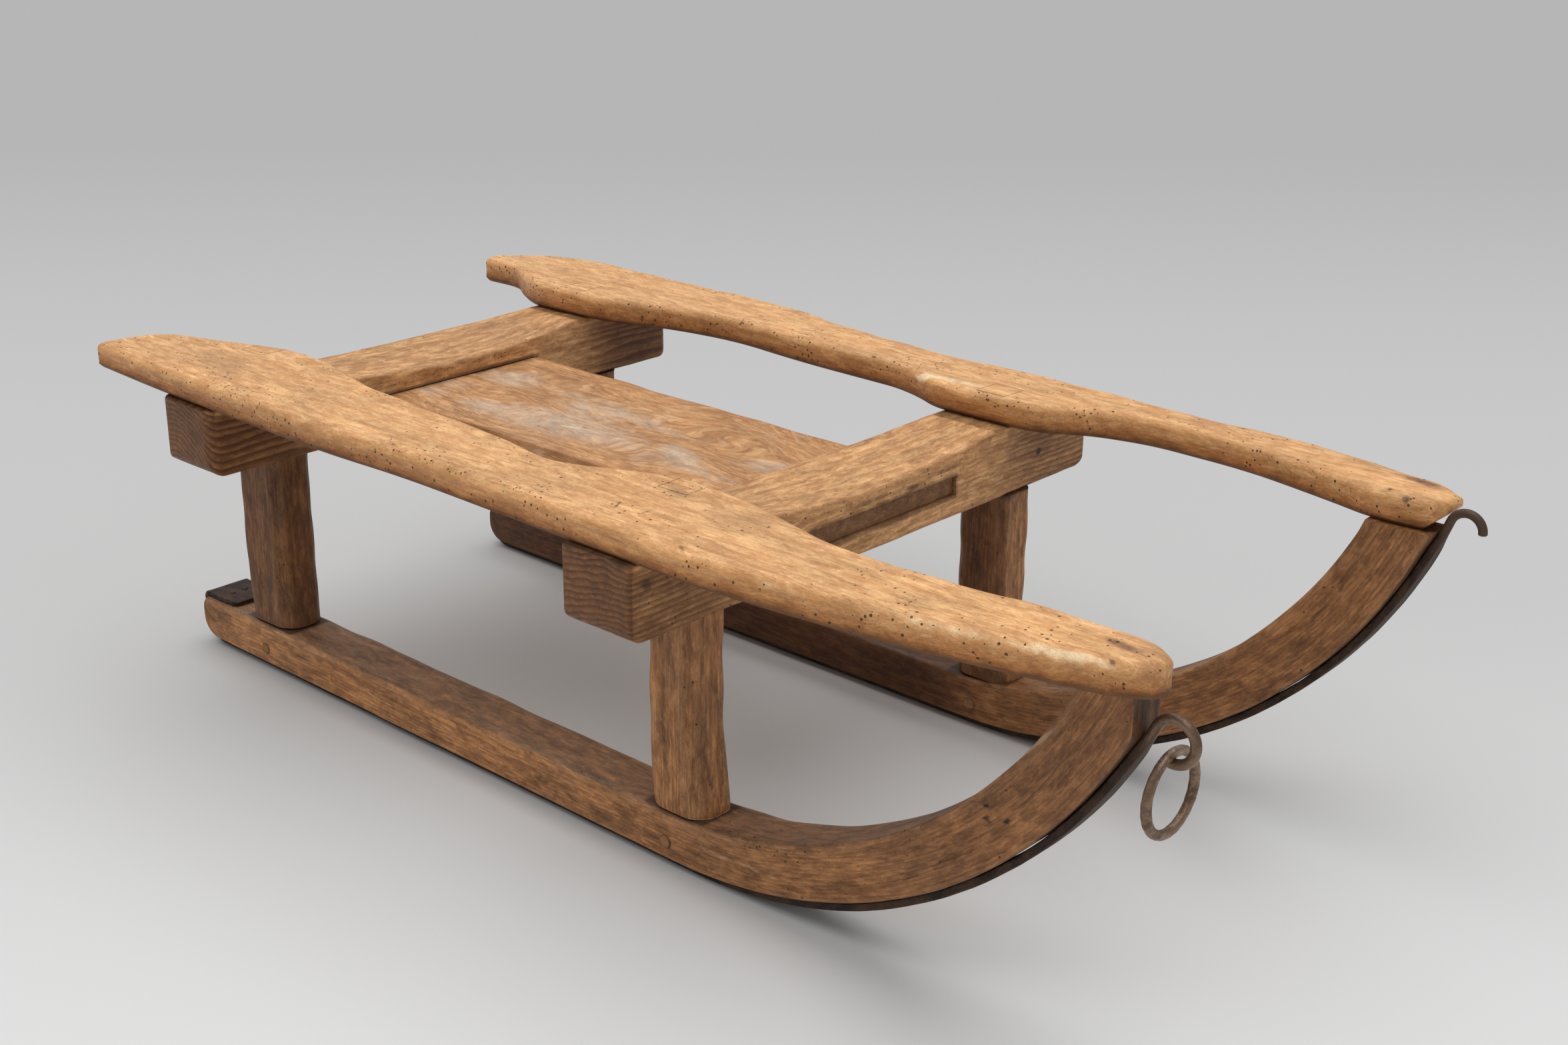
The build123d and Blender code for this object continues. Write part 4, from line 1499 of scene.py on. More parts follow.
    def tunnel(self, rings: Array, extra: int) -> Array:
        """Faces of the sections' grid without the slot's windows, with those of the slot's four walls.

        The two windows' rims are walked in the same order, so that each wall face joins a step of the
        front rim to the matching step of the rear rim.

        Args:
            rings: Points of the sections, (n, m, 3).
            extra: Rows that are added at each end.

        Returns:
            Indices of each face's points, (k, 4).
        """
        columns = rings.shape[1]
        quads = ring_quads(rings.shape[0] + 2 * extra, columns)
        slot = SIZES.seat_half + SIZES.joint_gap
        first, last = (extra + int(np.abs(rings[:, 0, 1] - end).argmin()) for end in (-slot, slot))
        front_slot = self.LOWER_ROWS
        face_rows = self.LOWER_ROWS + self.SLOT_ROWS + self.UPPER_ROWS + 1
        rear_slot = face_rows + 2 * self.CURVE_ROWS + self.TOP_ROWS + self.UPPER_ROWS
        row, column = quads[:, 0] // columns, quads[:, 0] % columns
        inside = (row >= first) & (row < last)
        in_window = [(column >= low) & (column < low + self.SLOT_ROWS) for low in (front_slot, rear_slot)]
        rows_walk = np.arange(first, last + 1)
        steps = np.arange(self.SLOT_ROWS + 1)

        def rim(low: int, sign: int) -> Array:
            """Indices round a window, from its low right corner along the bottom, up, back and down.

            Args:
                low: Column of the window's lower edge.
                sign: Sign of the columns' way up.

            Returns:
                The indices of its points.
            """
            level = low + sign * steps
            return np.concatenate([rows_walk[:-1] * columns + level[0], last * columns + level[:-1],
                                   rows_walk[:0:-1] * columns + level[-1], first * columns + level[:0:-1]])

        front, rear = rim(front_slot, 1), rim(rear_slot + self.SLOT_ROWS, -1)
        walls = stacked(front, np.roll(front, -1), np.roll(rear, -1), rear)
        return np.concatenate([quads[~(inside & (in_window[0] | in_window[1]))], walls])

    def form(self) -> Form:
        """Sections with the slot cut through, hollowed by the blade's marks away from the ends and the slot.

        Returns:
            The form, darker by its tone outside the rails.
        """
        rings, edge = self.rings()
        extra = 8
        quads = self.tunnel(rings, extra)
        window = near_zero(np.abs(rings[..., 2] - (SIZES.seat_top + SIZES.seat_bottom) / 2) - 9, 1.5)
        window = window * near_zero(np.abs(rings[..., 1]) - SIZES.seat_half - 2, 1.5)
        depth = worked(rings / np.array([1.0, 3.0, 1.0]), self.seed + 3, (0.5, 22), (0.25, 7))
        rings = pressed_in(rings, depth * ease(self.to_end(rings[..., 1]), 1, 8) * (1 - 0.8 * window))
        aside, below = np.abs(rings[..., 1]), SIZES.rail_seat - rings[..., 2]
        under_rail = near_zero(below, 2.0) * (aside > SIZES.track_half - 28)
        left, right = (post.station for post in POSTS if post.at is self.at)
        middle = np.where(rings[..., 1] > 0, left, right)
        by_post = near_zero(np.hypot(rings[..., 0] - middle, aside - SIZES.track_half) - 24, 5)
        # The nooks under the rails, by the posts' feet and round the slot darken as grime and painted shade.
        nook = np.maximum(under_rail * 0.9, by_post * (rings[..., 2] < SIZES.beam_bottom + 2))
        ends = near_zero(self.to_end(rings[..., 1]) - 0.6 * self.arris, 2.5)
        outer = self.tone * ease(aside, 100, 176) * ease(below, 1.5, 8)
        wear = stacked(edge, np.maximum(nook, window * 0.75), np.maximum(ends, outer))
        rings, wear = end_rows(rings, extra), end_rows(wear, extra)
        station, across, height = (rings[..., axis] for axis in range(3))
        grain = stacked(across + self.seed * 673.0, station - self.station - self.heart[0],
                        height - SIZES.beam_bottom - self.heart[1])
        facing = ease(station, self.station, self.station + self.depth / 2)
        marks = marks_over(self.marks, across, height)
        marks = marks * np.maximum(facing, near_zero(self.to_end(across), 1.0))[..., None]
        return Form.from_rings(rings, grain, wear, marks=marks, quads=quads)

    def place(self, material: Material) -> None:
        """The crossbeam as a piece in place of its node."""
        name, node = f"{self.at.value}_crossbeam", f"crossbeam_{self.at.value}"
        Piece(name, self.form().outward(), material, BEAM_FINISH.slot, (node,)).place()


@dataclass
class Post:
    """A post: whittled to eight sides, with a foot that flares forward on the runner.

    Its eight corners are each given by the signs of their quarter, and by which way a cut moves them.
    """

    spot: PostPlace
    seed: int
    width: float = 38.0
    arris: float = 7.0
    flare_height: float = 55.0
    tenon_drop: float = 24.0

    EIGHT_SIDES: ClassVar[tuple[tuple[int, int, int, int], ...]] = (
        (1, -1, 0, 1), (1, 1, 0, -1), (1, 1, -1, 0), (-1, 1, 1, 0),
        (-1, 1, 0, -1), (-1, -1, 0, 1), (-1, -1, 1, 0), (1, -1, -1, 0))

    def form(self) -> Form:
        """Eight-sided sections up the post, rounder at the foot, and a tenon at each end.

        Returns:
            The form, darker by painted shade: the post's tone all over and its shade on the side towards the
                middle.
        """
        size, spot = SIZES, self.spot
        low_tenon = np.array([size.runner_top - self.tenon_drop, size.runner_top - 0.3])
        body = np.linspace(size.runner_top - 0.2, size.beam_bottom, 76)
        high_tenon = np.array([size.beam_bottom + 0.01, size.rail_seat + 8])
        height = np.concatenate([low_tenon, body, high_tenon])
        is_body = np.concatenate([[0, 0], np.ones_like(body), [0, 0]])
        rise = np.clip((height - size.runner_top) / self.flare_height, 0, 1)
        reach = spot.flare * (1 - rise) ** 1.3
        half_x = np.where(is_body, (spot.depth + reach) / 2, size.tenon_along)
        half_y = np.where(is_body, self.width / 2, size.tenon_across)
        sway = ripple(height[:, None], 60, self.seed)
        cut = np.where(is_body, self.arris, 0.6)
        cut = cut * (1 + (0.12 * np.tanh(sway) + 0.42 * (1 - rise) ** 2) * is_body)
        corners = np.stack([stacked(x * half_x + dx * cut, y * half_y + dy * cut)
                            for x, y, dx, dy in self.EIGHT_SIDES], axis=1)
        round_cut = np.where(is_body, 2.0 + 4.6 * (1 - rise) ** 2, 0.2)
        ring, corner = rounded_ring(corners, spread(round_cut, 8), 6, (9, 4) * 4, 2.0)
        track = spot.side.value * size.track_half
        lean = (reach / 2 * is_body)[:, None]
        rings = stacked(spot.station + lean + ring[..., 0], track + ring[..., 1],
                        spread(height, ring.shape[1]))
        foot_arris = 1.2 * near_zero(height - size.runner_top, 1.0)[:, None] * is_body[:, None]
        depth = worked(rings / np.array([1.0, 1.0, 3.5]), self.seed + 1, (0.5, 34), (0.12, 9))
        rings = pressed_in(rings, (depth + foot_arris) * is_body[:, None])
        station, across, level = (rings[..., axis] for axis in range(3))
        nook = np.maximum(near_zero(level - size.runner_top, 2.2), near_zero(size.beam_bottom - level, 5))
        inner = ease((track - across) * spot.side.value, 9, 15)
        # Painted shade: the tone all over and the shade on the inner side; the nooks at the foot and under
        # the crossbeam darken as grime and painted shade.
        wear = stacked(corner, nook * 0.9, np.maximum(spot.tone, spot.shade * inner))
        grain = stacked(level + self.seed * 557.0, station - spot.station + 9.0,
                        across - track + 22.0)
        return Form.from_rings(rings, grain, wear, ends=2)

    def place(self, material: Material) -> None:
        """The post as a piece in place of its node."""
        name = f"{self.spot.at.value}_{self.spot.side.name.lower()}"
        Piece(f"{name}_post", self.form().outward(), material, RUNNER_FINISH.slot, (f"post_{name}",)).place()


@dataclass
class SeatBoard:
    """The seat board: a plank let through both crossbeams, a little cupped and worn."""

    rear: float
    front: float
    marks: tuple[Mark, ...]
    seed: int = 31
    rear_seated: float = 56.0
    front_seated: float = 53.0

    def form(self) -> Form:
        """Rounded four-sided sections along the plank; its top sinks by a parabola towards its middle.

        Returns:
            The form, with the crossbeams' faces as its nooks.
        """
        size = SIZES
        tip = np.array([0, 0.5, 1.2])
        body = np.linspace(self.rear + 2, self.front - 2, 190)
        station = np.concatenate([self.rear + tip, body, self.front - tip[::-1]])
        sizes = (size.seat_half, size.seat_bottom, size.seat_top)
        half, low, high = (np.full_like(station, value) for value in sizes)
        sway = ripple(station[:, None], 80, self.seed)
        low_cut, top_cut = 1.2 + 0 * sway, 2.6 + 1.0 * sway
        cuts = np.stack([low_cut, low_cut, top_cut, top_cut], axis=1)
        ring, corner = rounded_ring(box_corners(half, low, high), cuts, 6, (24, 4, 60, 4), 3.0)
        across, height = ring[..., 0], ring[..., 1]
        rings = stacked(spread(station, ring.shape[1]), across, height)
        depth = worked(rings / np.array([3.0, 1.0, 1.0]), self.seed + 1, (0.4, 24), (0.25, 8))
        cup = 0.6 * (1 - (across / size.seat_half) ** 2) * (height > size.seat_top - 4)
        rings = pressed_in(rings, depth + cup)
        reach = np.minimum(station - self.rear - self.rear_seated, self.front - self.front_seated - station)
        # Near the crossbeams' faces the board darkens as grime and painted shade.
        nook, end = near_zero(reach, 7) * 0.9, near_zero(self.front - station, 1.0)
        wear = stacked(corner, spread(nook, ring.shape[1]), spread(end, ring.shape[1]))
        swirl = ripple(rings[..., :2] / np.array([2.4, 1.0]), 62, self.seed + 7)
        bend = stacked(0 * swirl, 9 * swirl, 0 * swirl)
        grain = rings - np.array([self.seed * 431.0, 18.0, 150.0]) + bend
        marks = marks_over(self.marks, rings[..., 0], rings[..., 1]) * (height > size.seat_top - 5)[..., None]
        return Form.from_rings(rings, grain, wear, marks=marks, ends=4)

    def place(self, material: Material) -> None:
        """The board as a piece in place of its node."""
        Piece("seat_plank", self.form().outward(), material, SEAT_FINISH.slot, ("seat_board",)).place()


@dataclass
class Pegs:
    """Four pegs, each through a runner and the foot of its post, with rounded ends."""

    proud: float = 1.1
    half_width: float = 21.0

    def peg(self, station: float, side: Side, seed: int) -> Form:
        """One peg: circles whose radius falls off along a quarter ellipse at both ends.

        Args:
            station: Station of the peg's middle.
            side: Side of the sled.
            seed: Turns the peg's unevenness.

        Returns:
            The peg's form.
        """
        size = SIZES
        reach = self.half_width + self.proud
        turn = np.linspace(0, math.pi / 2, 8)
        fall = self.proud * (1 - np.sin(turn))
        along = np.concatenate([-reach + fall[::-1], reach - fall])
        radius = size.peg_radius * np.concatenate([np.cos(turn)[::-1], np.cos(turn)])
        around = np.linspace(0, math.tau, 28, endpoint=False)
        uneven = 1 + 0.05 * np.sin(around * 2 + seed) + 0.03 * np.sin(around * 5 + seed * 2)
        across = spread(side.value * size.track_half + along, 28)
        out = radius[:, None] * np.cos(around) * uneven
        up = radius[:, None] * np.sin(around) * uneven
        rings = stacked(station + out, across, size.peg_height + up)
        grain = stacked(rings[..., 1] + seed * 91.0, rings[..., 0] - station,
                        rings[..., 2] - size.peg_height)
        rim = spread(near_zero(size.peg_radius - radius, 0.8), 28)
        # The rim darkens as grime and painted shade where the peg meets its hole.
        return Form.from_rings(rings, grain, stacked(1 - rim, rim * 0.7, 0 * rim))

    def place(self, material: Material) -> None:
        """The pegs as one piece in place of their nodes.

        Args:
            material: The pegs' material.
        """
        forms = [self.peg(post.station, post.side, seed).outward() for seed, post in enumerate(POSTS)]
        nodes = tuple(f"peg_{post.at.value}_{post.side.name.lower()}" for post in POSTS)
        Piece("pegs", Form.joined(forms), material, PEG_FINISH.slot, nodes).place()


# Iron pieces


@dataclass
class Shoe:
    """An iron shoe: lapped over the heel, along the underside and up the bend to a forged curl."""

    side: Side
    curl_height: float
    curl_radius: float
    curl_end: float
    seed: int
    thickness: float = 5.5
    width: float = 30.0
    lap: float = 46.0
    lap_width: float = 37.6
    toe_width: float = 12.0
    taper_station: float = 600.0
    bar: float = 5.8
    bare: float = 0.0
    line_radius: float = 357.95
    heel_radius: float = 15.0
    heel_top_radius: float = 6.0

    TIP_STEPS: ClassVar[tuple[tuple[float, float], ...]] = ((0.93, 0.35), (0.8, 0.6))

    def path(self) -> tuple[Array, int]:
        """Middle line in the side view: over the heel, along the ground, up the bend and round the curl.

        Returns:
            Stations and heights, (n, 2), and the row where the curl begins.
        """
        size, half = SIZES, self.thickness / 2
        low_turn = self.heel_radius + size.joint_gap + half
        top_turn = self.heel_top_radius + size.joint_gap + half
        lap_height = size.runner_top + size.joint_gap + half
        lean = math.degrees(math.acos((size.bend_height - self.curl_height) / self.line_radius))
        out, down = math.sin(math.radians(lean)), -math.cos(math.radians(lean))
        start = np.array([size.bend_station + self.line_radius * out, self.curl_height])
        middle = start + self.curl_radius * np.array([out, down])
        runs = [
            line_points((self.lap, lap_height), (half + top_turn, lap_height), 26),
            arc_points((half + top_turn, lap_height - top_turn), top_turn, 90, 180, 14),
            line_points((half, lap_height - top_turn), (half, half + low_turn), 4),
            arc_points((half + low_turn, half + low_turn), low_turn, 180, 270, 26),
            line_points((half + low_turn, half), (size.bend_station, half), 150),
            arc_points((size.bend_station, size.bend_height), self.line_radius, -90, lean - 90, 150),
            arc_points(middle, self.curl_radius, lean + 90, self.curl_end, 70, True),
        ]
        return np.concatenate(runs), sum(len(run) for run in runs[:-1])

    def form(self) -> Form:
        """Sections along the path, from a flat strap with small arrises to a round bar.

        Returns:
            The form, with the bar rubbed bright and bare as far as its bare share says.
        """
        path, curl_row = self.path()
        tangent = unit(np.gradient(path, axis=0))
        normal = stacked(-tangent[:, 1], tangent[:, 0])
        run = run_along(path)
        taper = path[curl_row, 0] + 10 - self.taper_station
        narrow = np.clip((path[:, 0] - self.taper_station) / taper, 0, 1)
        flared = (self.lap_width - self.width) * (1 - ease(run, 36, 56))
        flared = flared * (1 - 0.06 * ripple(run[:, None], 16, self.seed) ** 2)
        width = np.minimum(self.width + flared, self.lap_width - (self.lap_width - self.toe_width) * narrow)
        to_bar = ease(run, run[curl_row] - 26, run[curl_row] + 2)
        width = width * (1 - to_bar) + self.bar * to_bar
        height = self.thickness * (1 - to_bar) + self.bar * to_bar
        lap_end = 0.45 + 0.55 * ease(run, 30, 60) - 0.3 * near_zero(run, 3.0)
        half_w, half_h = width / 2 * (1 - 0.2 * near_zero(run, 3.0)), height / 2
        cuts = spread(1.3 * (1 - to_bar) + 2.0 * to_bar, 4)
        ring, corner = rounded_ring(box_corners(half_w, -half_h, half_h), cuts, 6, (8, 2, 8, 2), 2.2)
        angle = np.arctan2(ring[..., 1] / half_h[:, None], ring[..., 0] / half_w[:, None])
        circle = self.bar / 2 * stacked(np.cos(angle), np.sin(angle))
        ring = ring * (1 - to_bar)[:, None, None] + circle * to_bar[:, None, None]
        offset = ring[..., 1] * np.where(ring[..., 1] > 0, 1, lap_end[:, None])
        spot = path[:, None] + normal[:, None] * offset[..., None]
        track = self.side.value * SIZES.track_half
        rings = stacked(spot[..., 0], track + ring[..., 0], spot[..., 1])
        along = spread(run, ring.shape[1])
        dents = worked(stacked(along / 2, ring[..., 0], offset), self.seed, (0.22, 12), (0.1, 5))
        rings = pressed_in(rings, dents * (1 - 0.5 * to_bar)[:, None])
        grain = stacked(along + self.seed * 347.0, ring[..., 0], offset)
        barred = spread(to_bar, ring.shape[1])
        edge = 0.45 * corner * (1 - barred) + 0.45 * barred
        wear = stacked(edge, 0 * offset, self.bare * barred)
        last, onward = rings[-1:], np.array([tangent[-1, 0], 0, tangent[-1, 1]])
        middle = last.mean(axis=1, keepdims=True)
        tip = [middle + (last - middle) * share + onward * push for share, push in self.TIP_STEPS]
        rings = np.concatenate([rings, *tip])
        grain, wear = (np.concatenate([values] + [values[-1:]] * len(tip)) for values in (grain, wear))
        return Form.from_rings(rings, grain, wear, ends=3)

    def place(self, material: Material) -> None:
        """The shoe as a piece in place of its node."""
        name = self.side.name.lower()
        Piece(f"{name}_shoe", self.form().outward(), material, IRON_FINISH.slot, (f"shoe_{name}",)).place()


@dataclass
class Nails:
    """Forged nails: square-headed ones on the heel laps and small ones flush in the rails' fronts."""

    lap_top: float = 42.7

    def head(self, station: float, across: float, height: float, radius: float, dome: float,
             seed: int) -> Form:
        """One head: circles turned a little square, rising to a low dome along a quarter ellipse.

        Args:
            station: Station of the nail.
            across: Its distance to the sled's left.
            height: Height of the face that it is driven into.
            radius: Radius of the head.
            dome: How far the head rises.
            seed: Turns the head's unevenness.

        Returns:
            The head's form.
        """
        share = np.linspace(0, 1, 8)[:, None]
        around = np.linspace(0, math.tau, 20, endpoint=False)
        square = 1 + 0.09 * np.cos(4 * around + seed) + 0.05 * np.sin(3 * around + seed)
        x = station + radius * share * np.cos(around) * square
        y = across + radius * share * np.sin(around) * square
        z = height + dome * np.sqrt(1 - share ** 2) + 0 * around
        under = stacked(x, y, np.full_like(z, height - 1.5))[::-1]
        rings = np.concatenate([stacked(x, y, z), under])
        grain = rings - np.array([seed * 53.0, 0, 0])
        return Form.from_rings(rings, grain, 0 * rings + np.array([0.6, 0, 0]))

    def place(self, material: Material) -> None:
        """All the heads as one piece.

        Args:
            material: The nails' material.
        """
        spots = []
        for side in Side:
            track, rail_top = side.value * SIZES.track_half, SIZES.rail_top - 0.55
            spots += [(27.0, track + 4.5, self.lap_top, 2.6, 1.3),
                      (27.0, track - 6.5, self.lap_top, 2.4, 1.1),
                      (861.0, side.value * 168.0, rail_top, 1.7, 0.35)]
        forms = [self.head(*spot, seed).outward() for seed, spot in enumerate(spots)]
        Piece("nails", Form.joined(forms), material, IRON_FINISH.slot).place()


@dataclass
class PullRing:
    """The pull ring, bent by hand from round bar, hanging on the right shoe's eye."""

    wire: float = 3.0
    radius: float = 23.0
    seed: int = 71

    def form(self) -> Form:
        """Torus about the X axis whose bar grows a little thinner and thicker as it goes round.

        Returns:
            The form, brightest where it rubs on the eye.
        """
        low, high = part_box("pull_ring")
        station, across, height = ((a + b) / 2 / MM for a, b in zip(low, high))
        steps, bar_steps = 180, 24
        round_it = np.linspace(0, math.tau, steps, endpoint=False)
        around = np.linspace(0, math.tau, bar_steps, endpoint=False)
        turn = stacked(np.cos(round_it), np.sin(round_it))
        wire = self.wire * (0.965 + 0.03 * ripple(turn, 1.4, self.seed))
        twist = np.sin(spread(round_it * self.radius, bar_steps) * 0.9 + 2 * np.sin(around * 3))
        bar = wire[:, None] - 0.12 * (0.5 + 0.5 * twist)
        reach = self.radius + bar * np.cos(around)
        rings = stacked(station + ORIGIN_STATION + bar * np.sin(around),
                        across + reach * np.sin(round_it)[:, None],
                        height + reach * np.cos(round_it)[:, None])
        rings = np.concatenate([rings, rings[:1]])
        grain = stacked(rings[..., 1] + 900, rings[..., 2], rings[..., 0])
        rubbed = near_zero(height + self.radius - rings[..., 2], 9)
        wear = stacked(0.5 + 0.3 * rubbed, 0 * rubbed, 1 + 0 * rubbed)
        return Form.from_rings(rings, grain, wear)

    def place(self, material: Material) -> None:
        """The ring as a piece on its own body."""
        form = self.form().outward()
        Piece("drawing_ring", form, material, IRON_FINISH.slot, ("pull_ring",), RING_BODY).place()


# Studio


@dataclass(frozen=True)
class Studio:
    """Grey floor, graded lighter towards the camera as painted light, soft light from above and behind on the
    left, and the camera.
    """

    camera_spot: tuple[float, float, float] = ((1360.491 - ORIGIN_STATION) * MM, -0.97099, 0.66715)
    azimuth: float = 42.204
    elevation: float = 20.492
    roll: float = 0.467
    lens: float = 46.70
    floor_half: float = 14.0
    # Painted light: the floor's grey from near the camera to far off.
    floor_near: Colour = (224, 224, 224)
    floor_middle: Colour = (197, 197, 197)
    floor_far: Colour = (176, 176, 176)
    key_strength: float = 2.0
    key_angle: float = 85.0
    key_travel: tuple[float, float, float] = (0.2, 0.0, -1.0)
    sky_strength: float = 0.44

    def camera(self) -> None:
        """Camera from its azimuth, elevation and roll: back is away from the object, up is across it."""
        turn, rise, lean = (math.radians(angle) for angle in (self.azimuth, self.elevation, self.roll))
        back = Vector((math.sin(turn) * math.cos(rise), -math.cos(turn) * math.cos(rise), math.sin(rise)))
        right = Vector((0, 0, 1)).cross(back).normalized()
        up = back.cross(right)
        side = right * math.cos(lean) + up * math.sin(lean)
        top = up * math.cos(lean) - right * math.sin(lean)
        lens = bpy.data.cameras.new("camera")
        lens.lens, lens.sensor_width = self.lens, 36.0
        made = bpy.data.objects.new("camera", lens)
        turned = Matrix((side, top, back)).transposed().to_4x4()
        made.matrix_world = Matrix.Translation(self.camera_spot) @ turned
        bpy.context.scene.collection.objects.link(made)
        bpy.context.scene.camera = made

    def floor(self) -> None:
        """Wide floor whose grey falls off slowly away from the camera: painted light, lighter in front of the
        sled where its shadow falls.
        """
        half = self.floor_half
        mesh = bpy.data.meshes.new("floor")
        corners = [(x * half, y * half, -3e-4) for x, y in ((-1, -1), (1, -1), (1, 1), (-1, 1))]
        mesh.from_pydata(corners, [], [(0, 1, 2, 3)])
        made = bpy.data.objects.new("floor", mesh)
        bpy.context.scene.collection.objects.link(made)
        grey, bench, shader = new_material("floor_grey")
        spot = bench.node("ShaderNodeTexCoord").outputs["Object"]
        turn = math.radians(self.azimuth)
        away = bench.node("ShaderNodeVectorMath", {0: spot, 1: (-math.sin(turn), math.cos(turn), 0.0)},
                          operation="DOT_PRODUCT").outputs["Value"]
        near, middle, far = (linear(tint) for tint in (self.floor_near, self.floor_middle, self.floor_far))
        grey_near = bench.mix(bench.step(away, -0.6, 0.35), near, middle)
        bench.feed(shader.inputs["Base Color"], bench.mix(bench.step(away, 0.3, 2.6), grey_near, far))
        shader.inputs["Roughness"].default_value = 0.9
        shader.inputs["Specular IOR Level"].default_value = 0.1
        mesh.materials.append(grey)

    def lights(self) -> None:
        """A broad soft key from behind on the left and an even sky."""
        key = bpy.data.lights.new("key", "SUN")
        key.energy, key.angle = self.key_strength, math.radians(self.key_angle)
        made = bpy.data.objects.new("key", key)
        made.rotation_mode = "QUATERNION"
        made.rotation_quaternion = Vector(self.key_travel).to_track_quat("-Z", "Y")
        bpy.context.scene.collection.objects.link(made)
        world = bpy.data.worlds.new("sky")
        world.use_nodes = True
        bench = Bench(world.node_tree)
        sky = world.node_tree.nodes["Background"]
        sky.inputs["Strength"].default_value = self.sky_strength
        path = bench.node("ShaderNodeLightPath")
        seen = bench.math("MAXIMUM", path.outputs["Is Camera Ray"], path.outputs["Is Transmission Ray"])
        bench.feed(sky.inputs["Color"], bench.mix(seen, (1, 1, 1, 1), (1.15, 1.15, 1.15, 1)))
        bpy.context.scene.world = world

    def place(self) -> None:
        """Camera, floor and lights, with colours shown as they are."""
        self.camera()
        self.floor()
        self.lights()
        bpy.context.scene.view_settings.view_transform = "Standard"


# The sled


LEFT_SHARES = (
    (0.000, 0.45), (0.505, 0.92), (1.122, 0.92), (1.426, 0.94), (1.646, 0.75), (1.830, 0.69),
    (2.077, 0.73), (2.365, 0.67), (2.697, 0.66), (2.847, 0.55), (2.935, 0.49), (2.998, 0.30),
    (2.970, 0.10), (2.860, 0.07), (2.760, 0.17), (2.579, 0.32), (2.365, 0.34), (2.248, 0.23),
    (2.161, 0.02), (1.936, 0.01), (1.878, 0.13), (1.820, 0.20), (1.605, 0.22), (1.428, 0.30),
    (1.285, 0.21), (1.161, 0.00), (0.910, -0.04), (0.695, 0.07), (0.444, 0.27), (0.080, 0.25),
)
RIGHT_SHARES = (
    (0.095, 0.93), (0.880, 0.98), (1.414, 1.00), (1.592, 0.95), (1.942, 0.97), (2.299, 0.97),
    (2.564, 0.86), (2.776, 0.72), (2.939, 0.57), (2.985, 0.46), (2.990, 0.30), (2.938, 0.18),
    (2.800, 0.17), (2.560, 0.26), (2.388, 0.30), (2.230, 0.16), (2.077, 0.05), (1.928, 0.07),
    (1.806, 0.39), (1.640, 0.29), (1.476, 0.24), (1.279, 0.19), (1.138, 0.01), (1.024, 0.03),
    (0.861, 0.10), (0.627, 0.24), (0.452, 0.29), (0.262, 0.38), (0.150, 0.56), (0.085, 0.82),
)


# Marks of use. Along a piece first, then across it: distances from the sled's middle on the rails and
# the seat, heights on the runners and the crossbeams.
LEFT_RAIL_MARKS = (
    Mark(857, 170, 40, 11, -14, dark=0.7, grey=0.6), Mark(848, 144, 6, 4, dark=0.9),
    Mark(861, 140, 6, 4, dark=0.8), Mark(500, 142, 110, 10, 5, pale=0.7),
    Mark(765, 150, 120, 18, 8, dark=0.2, grey=0.3), Mark(120, 178, 160, 22, 6, grey=0.5),
    Mark(300, 150, 70, 10, -6, grey=0.5), Mark(420, 190, 120, 14, -4, pale=0.35),
    Mark(640, 178, 90, 10, 4, grey=0.35), Mark(60, 165, 26, 10, 20, dark=0.3),
    Mark(90, 137, 60, 8, pale=0.45),
)
RIGHT_RAIL_MARKS = (
    Mark(862, 167, 36, 9, 10, dark=0.6, grey=1.0), Mark(876, 162, 26, 26, grey=0.8),
    Mark(528, 199, 16, 3.4, 60, dark=0.8), Mark(549, 197, 18, 3.4, 100, dark=0.7),
    Mark(538, 160, 30, 15, 15, dark=0.35, grey=0.8), Mark(524, 152, 16, 12, dark=0.4),
    Mark(126, 207, 70, 20, 12, grey=0.6), Mark(92, 188, 100, 40, 10, grey=0.75, dark=0.1),
    Mark(60, 200, 34, 12, -20, pale=0.35), Mark(230, 210, 90, 14, 4, grey=0.35),
    Mark(330, 190, 120, 16, -8, pale=0.25), Mark(250, 154, 130, 8, -12, dark=0.35),
    Mark(430, 214, 80, 12, 4, grey=0.4), Mark(773, 207, 110, 6, -11, pale=0.5),
    Mark(841, 192, 90, 6, -15, pale=0.6), Mark(690, 221, 90, 5, -6, pale=0.35),
    Mark(150, 214, 80, 16, 2, dark=0.24), Mark(60, 214, 70, 14, 6, dark=0.26),
    Mark(556, 225, 44, 7, dark=0.4), Mark(286, 222, 46, 7, dark=0.4), Mark(430, 224, 90, 7, dark=0.26),
    Mark(830, 196, 50, 10, -14, dark=0.26), Mark(595, 168, 70, 34, -14, grey=0.75, dark=0.12),
    Mark(650, 190, 90, 12, -6, grey=0.35), Mark(884, 178, 14, 16, grey=0.9, dark=0.2),
    Mark(500, 225, 60, 6, dark=0.34), Mark(360, 224, 60, 6, dark=0.34), Mark(604, 222, 9, 3.5, 20, dark=0.7),
    Mark(866, 184, 5, 3.5, dark=0.75), Mark(278, 224, 14, 3, dark=0.6),
)
LEFT_RUNNER_MARKS = (
    Mark(800, 190, 60, 22, 55, pale=0.4), Mark(700, 90, 60, 12, 40, dark=0.3),
)
